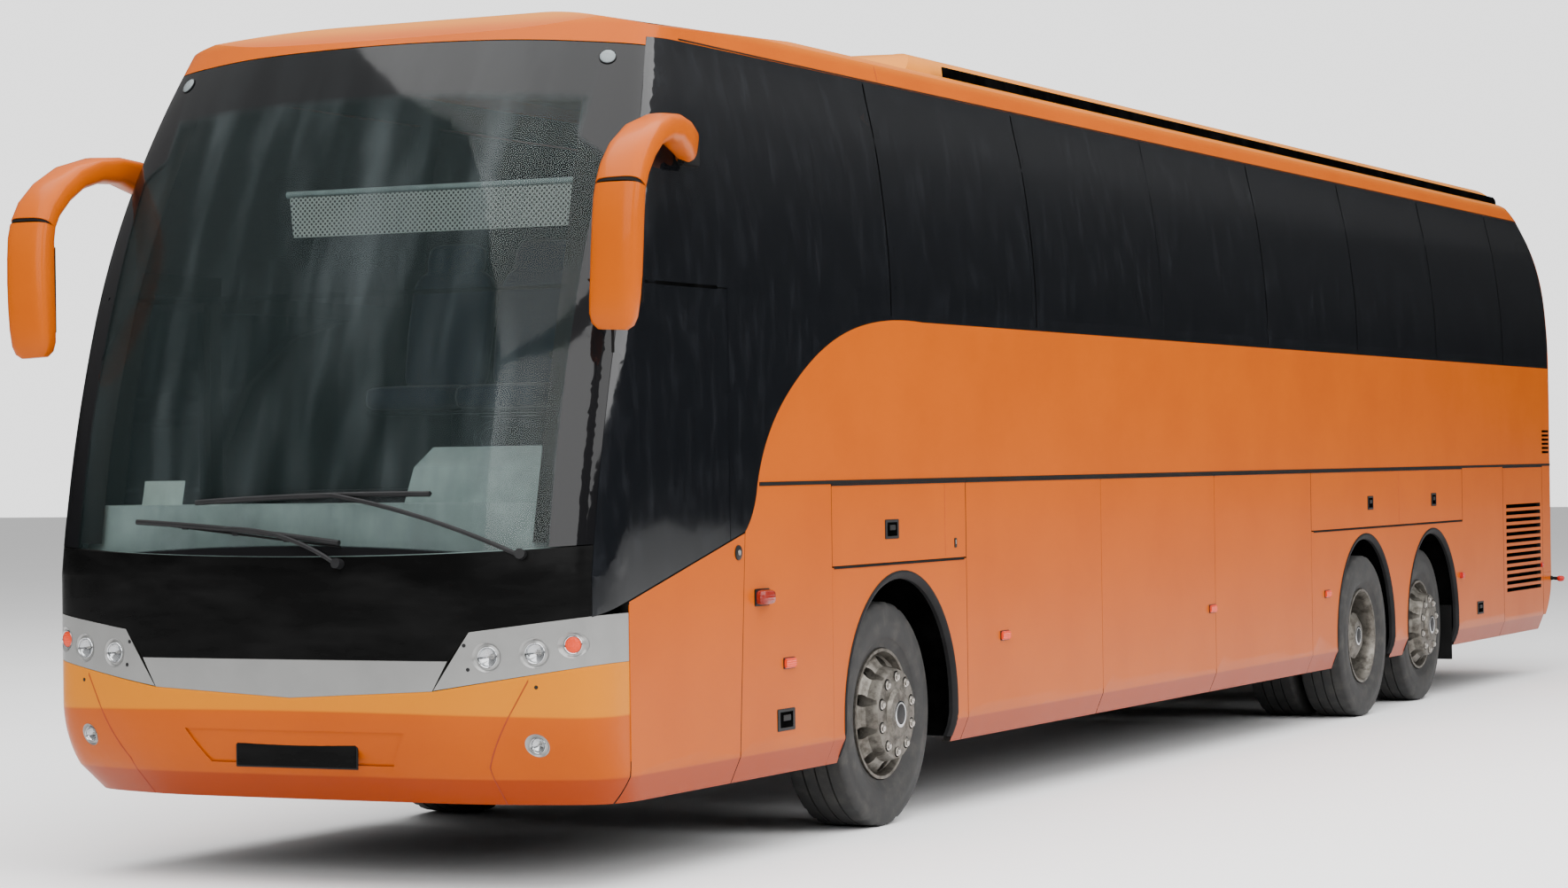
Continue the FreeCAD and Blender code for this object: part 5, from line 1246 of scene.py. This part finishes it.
def blank_plate():
    """The blank number plate in the bumper's recess."""
    point = on_front(0.0, PLATE_HEIGHT)[0]
    slab("number_plate", point + Vector((0, -0.004, 0)), (0.552, 0.005, 0.137), 0.0015, "root",
         "mask_black")
    slab("number_plate_holder", point + Vector((0, -0.0015, 0)), (0.566, 0.006, 0.150), 0.002,
         "root", "trim")


# Both ends of each wiper's rubber, as x and z.
WIPERS = (((-0.452, 1.512), (0.621, 1.538)), ((-0.739, 1.437), (0.234, 1.336)))


def wiper_blades():
    """A rubber with its clips on each wiper."""
    for n, ends in enumerate(WIPERS):
        route = []
        for x, z in dense(ends, 0.08):
            point, normal, _ = on_front(x, z)
            route.append(point + normal * 0.007)
        Shape().tube(route, 0.0045, 8).piece("wiper_rubber_%d" % n, "root", "rubber")
        clips = Shape()
        for point in route[3:-3:3]:
            clips.block(point + Vector((0, -0.007, 0)), (0.030, 0.012, 0.013), 0.003)
        clips.piece("wiper_clips_%d" % n, "root", "trim")


# Mirrors

class CoachMirrors(bpy.types.Operator):
    """The hanging mirrors: an arm that swells into a head, dark seams and the glass"""
    bl_idname = "coach.mirrors"
    bl_label = "Mirrors"

    def execute(self, context):
        for side, hand in SIDES:
            mirror(side, hand, 0.0 if side > 0 else -0.040)
        return {"FINISHED"}


# Centre, half width and half depth of each ring.
MIRROR_ARM = (((1.262, -6.545, 2.895), 0.034, 0.062), ((1.300, -6.585, 2.905), 0.043, 0.070),
              ((1.312, -6.66, 2.93), 0.050, 0.070), ((1.330, -6.78, 2.953), 0.060, 0.057),
              ((1.345, -6.92, 2.945), 0.072, 0.055), ((1.357, -7.06, 2.905), 0.085, 0.055),
              ((1.366, -7.17, 2.838), 0.094, 0.056), ((1.373, -7.245, 2.765), 0.097, 0.056),
              ((1.375, -7.282, 2.700), 0.098, 0.055))
MIRROR_HEAD = (((1.375, -7.284, 2.694), 0.098, 0.055), ((1.375, -7.297, 2.640), 0.099, 0.058),
               ((1.373, -7.304, 2.560), 0.099, 0.060), ((1.370, -7.308, 2.460), 0.100, 0.060),
               ((1.366, -7.310, 2.360), 0.100, 0.058), ((1.360, -7.312, 2.270), 0.099, 0.054),
               ((1.354, -7.313, 2.205), 0.096, 0.048), ((1.351, -7.313, 2.170), 0.085, 0.038),
               ((1.350, -7.313, 2.150), 0.060, 0.024))
MIRROR_SEAM = (((1.375, -7.278, 2.706), 0.094, 0.051), ((1.375, -7.288, 2.688), 0.094, 0.051))
# Name, place, size, edge and finish.
MIRROR_PARTS = (("frame", (1.368, -7.248, 2.430), (0.158, 0.012, 0.360), 0.005, "trim"),
                ("glass", (1.368, -7.243, 2.500), (0.146, 0.006, 0.205), 0.002, "mirror_glass"),
                ("wide_glass", (1.368, -7.243, 2.318), (0.146, 0.006, 0.120), 0.002,
                 "mirror_glass"),
                ("foot", (1.284, -6.545, 2.895), (0.030, 0.150, 0.150), 0.008, "rubber"))


def sweep(path, side, drop, power=0.62, turns=28):
    """Rows of rounded-square rings along (centre, half width, half depth) entries."""
    points = [Vector((place[0] * side, place[1], place[2] + drop)) for place, _, _ in path]
    rows = []
    for i, (_, width, depth) in enumerate(path):
        ahead = points[min(i + 1, len(points) - 1)] - points[max(i - 1, 0)]
        ahead.normalize()
        across = Vector((1, 0, 0)) - ahead * ahead.x
        across.normalize()
        rise = ahead.cross(across)
        row = []
        for k in range(turns):
            angle = math.tau * k / turns
            c = math.copysign(abs(math.cos(angle)) ** power, math.cos(angle))
            s = math.copysign(abs(math.sin(angle)) ** power, math.sin(angle))
            row.append(points[i] + across * width * c + rise * depth * s)
        rows.append(row)
    return rows


def mirror(side, hand, drop):
    """One mirror, from its root on the front corner to the head's round foot."""
    bar("mirror_arm_" + hand, sweep(MIRROR_ARM, side, drop), "root", "orange", "orange_paint", 40)
    head = bar("mirror_head_" + hand, sweep(MIRROR_HEAD, side, drop), "root", "orange",
               "orange_paint", 40)
    bar("mirror_seam_" + hand, sweep(MIRROR_SEAM, side, drop), "root", "rubber")
    for title, (x, y, z), size, soft, material in MIRROR_PARTS:
        slab("mirror_%s_%s" % (title, hand), (side * x, y, z + drop), size, soft, "root", material)
    if side > 0:
        slab("mirror_strip_left", (1.352, -7.318, 2.108), (0.012, 0.004, 0.090), 0.001, "root",
             "rubber")
        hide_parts("mirrors")


# Wheels

TYRE_HALF = 0.1475
TREAD = 0.5045
BEAD = 0.2925
SHOULDERS = (11, 12, 25, 26)
# Where the tyres' middle planes stand, from the coach's middle.
TYRE_PLANES = {"front": (1.0445,), "drive": (0.7795, 1.1155), "tag": (1.0445,)}
# The nuts' ring, an angle on it between two holes, and how far out a nut may reach.
NUT_RING = 0.1675
NUT_ANGLE = 0.31
NUT_LIMIT = 1.262


def tyre_profile():
    """A tyre's outline as (along, radius), from bead to bead over the tread, and back inside."""
    wall = [(TYRE_HALF * share, BEAD + rise) for share, rise in (
        (0.70, 0.0), (0.80, 0.006), (0.80, 0.020), (0.93, 0.050), (0.945, 0.052), (0.99, 0.095),
        (1.0, 0.115), (0.985, 0.140), (0.975, 0.143), (0.965, 0.170))]
    wall += [(TYRE_HALF * share, TREAD - drop)
             for share, drop in ((0.93, 0.018), (0.86, 0.004), (0.80, 0.0015))]
    tread = [(groove + along, TREAD - depth) for groove in (0.062, 0.0, -0.062)
             for along, depth in ((0.0045, 0.0), (0.0035, 0.013), (-0.0035, 0.013),
                                  (-0.0045, 0.0))]
    inside = [(TYRE_HALF * 0.55, BEAD + 0.004), (TYRE_HALF * 0.80, BEAD + 0.09),
              (TYRE_HALF * 0.70, TREAD - 0.035)]
    other = [(-along, reach) for along, reach in reversed(wall)]
    return wall + tread + other + [(-along, reach) for along, reach in inside] + inside[::-1]


def lug(step, number):
    """Cut notches into the tread's shoulders."""
    return -0.007 if number in SHOULDERS and step % 4 == 0 else 0.0


class CoachWheels(bpy.types.Operator):
    """Tyres with grooves and lugs, wheel nuts, hub caps and mud flaps"""
    bl_idname = "coach.wheels"
    bl_label = "Wheels"

    def execute(self, context):
        for side, hand in SIDES:
            for name, place in AXLES.items():
                node = "tyre_%s_%s" % (name, hand)
                tyre = Shape()
                for plane in TYRE_PLANES[name]:
                    tyre.lathe(tyre_profile(), (side * plane, place, HUB), (side, 0, 0), 120,
                               lug, True)
                piece = tyre.piece(node + "_tread", NODES[node]["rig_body"], "tyre",
                                   "tyre_rubber", 42)
                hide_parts(node)
                wheel_face(side, hand, name, place)
            slab("mud_flap_" + hand, (side * 1.045, 4.805, 0.425), (0.38, 0.009, 0.37), 0.003,
                 "root", "rubber")
        return {"FINISHED"}


def wheel_face(side, hand, name, place):
    """Nuts over wells of painted shade in a ring, and the hub's cap with its bright ring."""
    node = NODES["rim_%s_%s" % (name, hand)]
    body = node["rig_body"]
    tail = "_%s_%s" % (name, hand)
    axis = (side, 0, 0)
    tree = BVHTree.FromPolygons([vert.co.copy() for vert in node.data.vertices],
                                [list(face.vertices) for face in node.data.polygons])

    def face_at(reach):
        start = Vector((side * OFF_SIDE, place + reach * math.cos(NUT_ANGLE),
                        HUB + reach * math.sin(NUT_ANGLE)))
        return tree.ray_cast(start, Vector((-side, 0, 0)))[0].x
    spot = face_at(NUT_RING)
    tall = 0.016 if abs(spot) + 0.026 < NUT_LIMIT else 0.010
    nut = Shape()
    for profile, steps in (
            ([(0.003, 0.0), (0.003, 0.0165), (0.003 + tall * 0.9, 0.0165),
              (0.003 + tall, 0.0145), (0.003 + tall, 0.0)], 6),
            ([(0.002 + tall, 0.0), (0.002 + tall, 0.0085), (0.006 + tall, 0.0075),
              (0.006 + tall, 0.0)], 12),
            ([(0.0, 0.0), (0.0, 0.0215), (0.0035, 0.0215), (0.005, 0.017), (0.005, 0.0)], 20)):
        nut.lathe(profile, (0, 0, 0), axis, steps)
    nuts = nut.piece("wheel_nuts" + tail, None, "bolt_steel", angle=30)
    repeated(nuts, body, "ring", 10, NUT_RING, (spot, place, HUB), "bolt_steel")
    # Near-black discs under the nuts: painted shade in the nuts' recesses.
    wells = turned("nut_wells" + tail, [(0.0, 0.0), (0.0, 0.0265), (0.0009, 0.0265),
                                        (0.0009, 0.0)], (0, 0, 0), axis, 20, None, "black_hole")
    repeated(wells, body, "ring", 10, NUT_RING, (spot, place, HUB), "black_hole")
    hub = (face_at(0.0), place, HUB)
    turned("hub_ring" + tail, [(-0.004, 0.060), (0.0025, 0.060), (0.004, 0.056), (0.0035, 0.047),
                               (-0.004, 0.046)], hub, axis, 40, body, "reflector", loop=True)
    turned("hub_cap" + tail, [(-0.004, 0.0), (-0.004, 0.046), (0.0015, 0.045), (0.003, 0.030),
                              (0.0035, 0.0)], hub, axis, 32, body, "trim")


# Cabin

ROWS = 14
FIRST_ROW = -5.2
PITCH = 0.84
SEAT_PLACES = (0.445, 0.925)
DRIVER_X = 0.62
# Behind the row's front, above the deck, size, tilt in degrees and roundness.
SEAT_PADS = ((0.200, 0.420, (0.445, 0.39, 0.115), 2, 0.40),
             (0.470, 0.720, (0.440, 0.105, 0.62), -12, 0.40),
             (0.535, 1.060, (0.30, 0.085, 0.17), -12, 0.45))
# From the middle, behind the row's front, above the deck, size and edge.
SEAT_FRAMES = ((0.685, 0.20, 0.175, (0.05, 0.20, 0.33), 0.006),
               (0.685, 0.20, 0.350, (0.90, 0.30, 0.018), 0.005),
               (0.217, 0.30, 0.60, (0.024, 0.26, 0.035), 0.006))
# Y, z, size, tilt in degrees and roundness.
DRIVER_PADS = ((-6.10, 1.40, (0.46, 0.46, 0.13), 2, 0.42),
               (-5.86, 1.72, (0.45, 0.12, 0.56), -8, 0.42),
               (-5.825, 2.045, (0.26, 0.09, 0.16), -8, 0.46))


class CoachCabin(bpy.types.Operator):
    """Padded passenger seats, the driver's seat, blinds and fittings behind the glass"""
    bl_idname = "coach.cabin"
    bl_label = "Cabin"

    def execute(self, context):
        passenger_seats()
        driver_seat()
        dash_fittings()
        return {"FINISHED"}


def close_pads(pads, name, node):
    """Make cushions one padded piece that stands for a seat node."""
    piece = pads.piece(name, "root", "cloth", "seat_fabric", 60)
    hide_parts(node)


def passenger_seats():
    """Cushions, backs, headrests and their frames, in pairs on both sides of the aisle."""
    pads = Shape()
    frames = Shape()
    for row in range(ROWS):
        front = FIRST_ROW + PITCH * row
        for side, _ in SIDES:
            for across in SEAT_PLACES:
                for back, height, size, tilt, power in SEAT_PADS:
                    pads.pillow((side * across, front + back, DECK + height), size, (tilt, 0, 0),
                                power, (8, 16))
            for x, back, height, size, soft in SEAT_FRAMES:
                frames.block((side * x, front + back, DECK + height), size, soft)
    close_pads(pads, "passenger_pads", "passenger_seats")
    frames.piece("passenger_frames", "root", "trim")


def driver_seat():
    """The driver's padded seat on its pedestal."""
    pads = Shape()
    for y, z, size, tilt, power in DRIVER_PADS:
        pads.pillow((DRIVER_X, y, z), size, (tilt, 0, 0), power)
    close_pads(pads, "driver_pads", "driver_seat")
    base = Shape()
    base.block((DRIVER_X, -6.08, 1.12), (0.28, 0.30, 0.38), 0.02)
    base.block((DRIVER_X, -6.08, 1.325), (0.42, 0.40, 0.03), 0.008)
    base.piece("driver_seat_base", "root", "trim")


def dash_fittings():
    """What shows behind the windscreen: a vent, a blank card, and the blind on its roller."""
    turned("dash_vent", [(0.0, 0.018), (0.004, 0.020), (0.006, 0.028), (0.002, 0.036),
                         (-0.006, 0.036), (-0.006, 0.018)], (1.118, -7.0, 1.590), (0, -0.5, 1),
           28, "root", "dash_dark", loop=True)
    slab("blank_card", (-0.90, -7.06, 1.545), (0.20, 0.003, 0.11), 0.001, "root", "pale",
         (-14, 0, 0))
    slab("sun_blind", (0.28, -6.85, 2.67), (1.35, 0.006, 0.165), 0.002, "root", "blind",
         (8, 0, 0))
    Shape().tube([(-0.42, -6.84, 2.765), (0.98, -6.84, 2.765)], 0.014, 12).piece(
        "blind_roller", "root", "visor")


# Stage

FLOOR_HALF = 90.0


class CoachStage(bpy.types.Operator):
    """Floor, soft lights and the camera at the photograph's viewing angle"""
    bl_idname = "coach.stage"
    bl_label = "Stage"

    def execute(self, context):
        stage_floor()
        stage_lights()
        stage_camera(context.scene.coach_stage)
        return {"FINISHED"}


def stage_floor():
    """A wide pale floor."""
    mesh = bpy.data.meshes.new("studio_floor")
    places = [(x * FLOOR_HALF, y * FLOOR_HALF, 0) for x, y in ((-1, -1), (1, -1), (1, 1), (-1, 1))]
    mesh.from_pydata(places, [], [(0, 1, 2, 3)])
    mesh.materials.append(studio_floor("studio_floor"))
    floor = bpy.data.objects.new("studio_floor", mesh)
    bpy.context.scene.collection.objects.link(floor)


def area_light(name, place, target, size, power):
    """A soft rectangular light aimed at a point."""
    data = bpy.data.lights.new(name, "AREA")
    data.shape = "RECTANGLE"
    data.size, data.size_y = size
    data.energy = power
    light = bpy.data.objects.new(name, data)
    light.location = place
    light.rotation_euler = (Vector(target) - Vector(place)).to_track_quat("-Z", "Y").to_euler()
    bpy.context.scene.collection.objects.link(light)


# Brightness of the surroundings from the horizon, 0.5, up to the zenith, 1.
SKY = ((0.50, 0.010), (0.57, 0.060), (0.65, 0.30), (0.85, 1.0))


def stage_lights():
    """A pale world, darker near the ground in reflections, and three soft lights."""
    world = bpy.data.worlds.new("studio")
    bpy.context.scene.world = world
    world.use_nodes = True
    sky = Nodes(world.node_tree)
    sky.tree.nodes.clear()
    way = sky.node("ShaderNodeTexCoord").outputs["Generated"]
    height = Sock(sky, sky.node("ShaderNodeSeparateXYZ", None, way).outputs["Z"])
    stops = [(place, (level, level, level, 1)) for place, level in SKY]
    ramp = sky.node("ShaderNodeValToRGB", {"ramp": stops}, height * 0.5 + 0.5)
    around = sky.node("ShaderNodeBackground", Color=ramp.outputs[0], Strength=0.9)
    seen = sky.node("ShaderNodeBackground", Color=(0.92, 0.92, 0.92, 1), Strength=2.3)
    direct = sky.node("ShaderNodeLightPath").outputs["Is Camera Ray"]
    both = sky.node("ShaderNodeMixShader", None, direct, around.outputs[0], seen.outputs[0])
    sky.node("ShaderNodeOutputWorld", Surface=both.outputs[0])
    area_light("sky_panel", (3.0, -4.0, 14.0), (0.0, 0.0, 0.0), (26.0, 22.0), 9000.0)
    area_light("front_panel", (6.0, -24.0, 9.0), (0.0, -7.0, 1.6), (16.0, 9.0), 2600.0)
    area_light("side_panel", (22.0, -4.0, 10.0), (1.2, 0.0, 1.2), (24.0, 8.0), 3000.0)


def stage_camera(sizes):
    """The camera of the photograph."""
    yaw, pitch, roll = sizes.yaw, sizes.pitch, sizes.roll
    forward = Vector((-math.sin(yaw) * math.cos(pitch), math.cos(yaw) * math.cos(pitch),
                      math.sin(pitch)))
    right = Vector((math.cos(yaw), math.sin(yaw), 0))
    up = right.cross(forward)
    across = right * math.cos(roll) + up * math.sin(roll)
    upright = up * math.cos(roll) - right * math.sin(roll)
    turn = Matrix((across, upright, -forward)).transposed().to_4x4()
    data = bpy.data.cameras.new("camera")
    data.lens = sizes.lens
    data.sensor_width = 36.0
    data.sensor_fit = "HORIZONTAL"
    data.clip_end = 400.0
    camera = bpy.data.objects.new("camera", data)
    camera.matrix_world = Matrix.Translation(sizes.place) @ turn
    bpy.context.scene.collection.objects.link(camera)
    bpy.context.scene.camera = camera


class CoachStageSizes(bpy.types.PropertyGroup):
    """Where the camera stands"""
    place: bpy.props.FloatVectorProperty(
        name="Camera place", description="Where the camera stands",
        default=(7.824, -19.193, 1.634), subtype="TRANSLATION", unit="LENGTH")
    yaw: bpy.props.FloatProperty(
        name="Yaw", description="Turn to the left of straight ahead",
        default=math.radians(25.876), subtype="ANGLE")
    pitch: bpy.props.FloatProperty(
        name="Pitch", description="Upward tilt", default=math.radians(0.32), subtype="ANGLE")
    roll: bpy.props.FloatProperty(
        name="Roll", description="Turn about the line of sight",
        default=math.radians(-0.768), subtype="ANGLE")
    lens: bpy.props.FloatProperty(
        name="Lens", description="Focal length on a 36 mm wide sensor in millimetres",
        default=82.2, min=10.0, unit="CAMERA")


class CoachPanel(bpy.types.Panel):
    """Lists the coach's pieces"""
    bl_idname = "VIEW3D_PT_coach"
    bl_label = "Touring coach"
    bl_space_type = "VIEW_3D"
    bl_region_type = "UI"
    bl_category = "Coach"

    def draw(self, context):
        for operator in OPERATORS:
            self.layout.operator(operator.bl_idname)


GROUPS = ((CoachColours, "coach_colours"), (CoachStageSizes, "coach_stage"),
          (CoachTrimSizes, "coach_trim"))
OPERATORS = (CoachStage, CoachShells, CoachSideTrim, CoachFittings, CoachFront, CoachMirrors,
             CoachWheels, CoachCabin)


def register():
    """Add the property groups, the operators and the panel."""
    for group, name in GROUPS:
        bpy.utils.register_class(group)
        setattr(bpy.types.Scene, name, bpy.props.PointerProperty(type=group))
    for operator in OPERATORS:
        bpy.utils.register_class(operator)
    bpy.utils.register_class(CoachPanel)


def unregister():
    """Take away what register added."""
    bpy.utils.unregister_class(CoachPanel)
    for operator in reversed(OPERATORS):
        bpy.utils.unregister_class(operator)
    for group, name in reversed(GROUPS):
        delattr(bpy.types.Scene, name)
        bpy.utils.unregister_class(group)


def main():
    """Build every piece in order."""
    register()
    for operator in OPERATORS:
        family, name = operator.bl_idname.split(".")
        getattr(getattr(bpy.ops, family), name)()


if __name__ == "__main__":
    main()
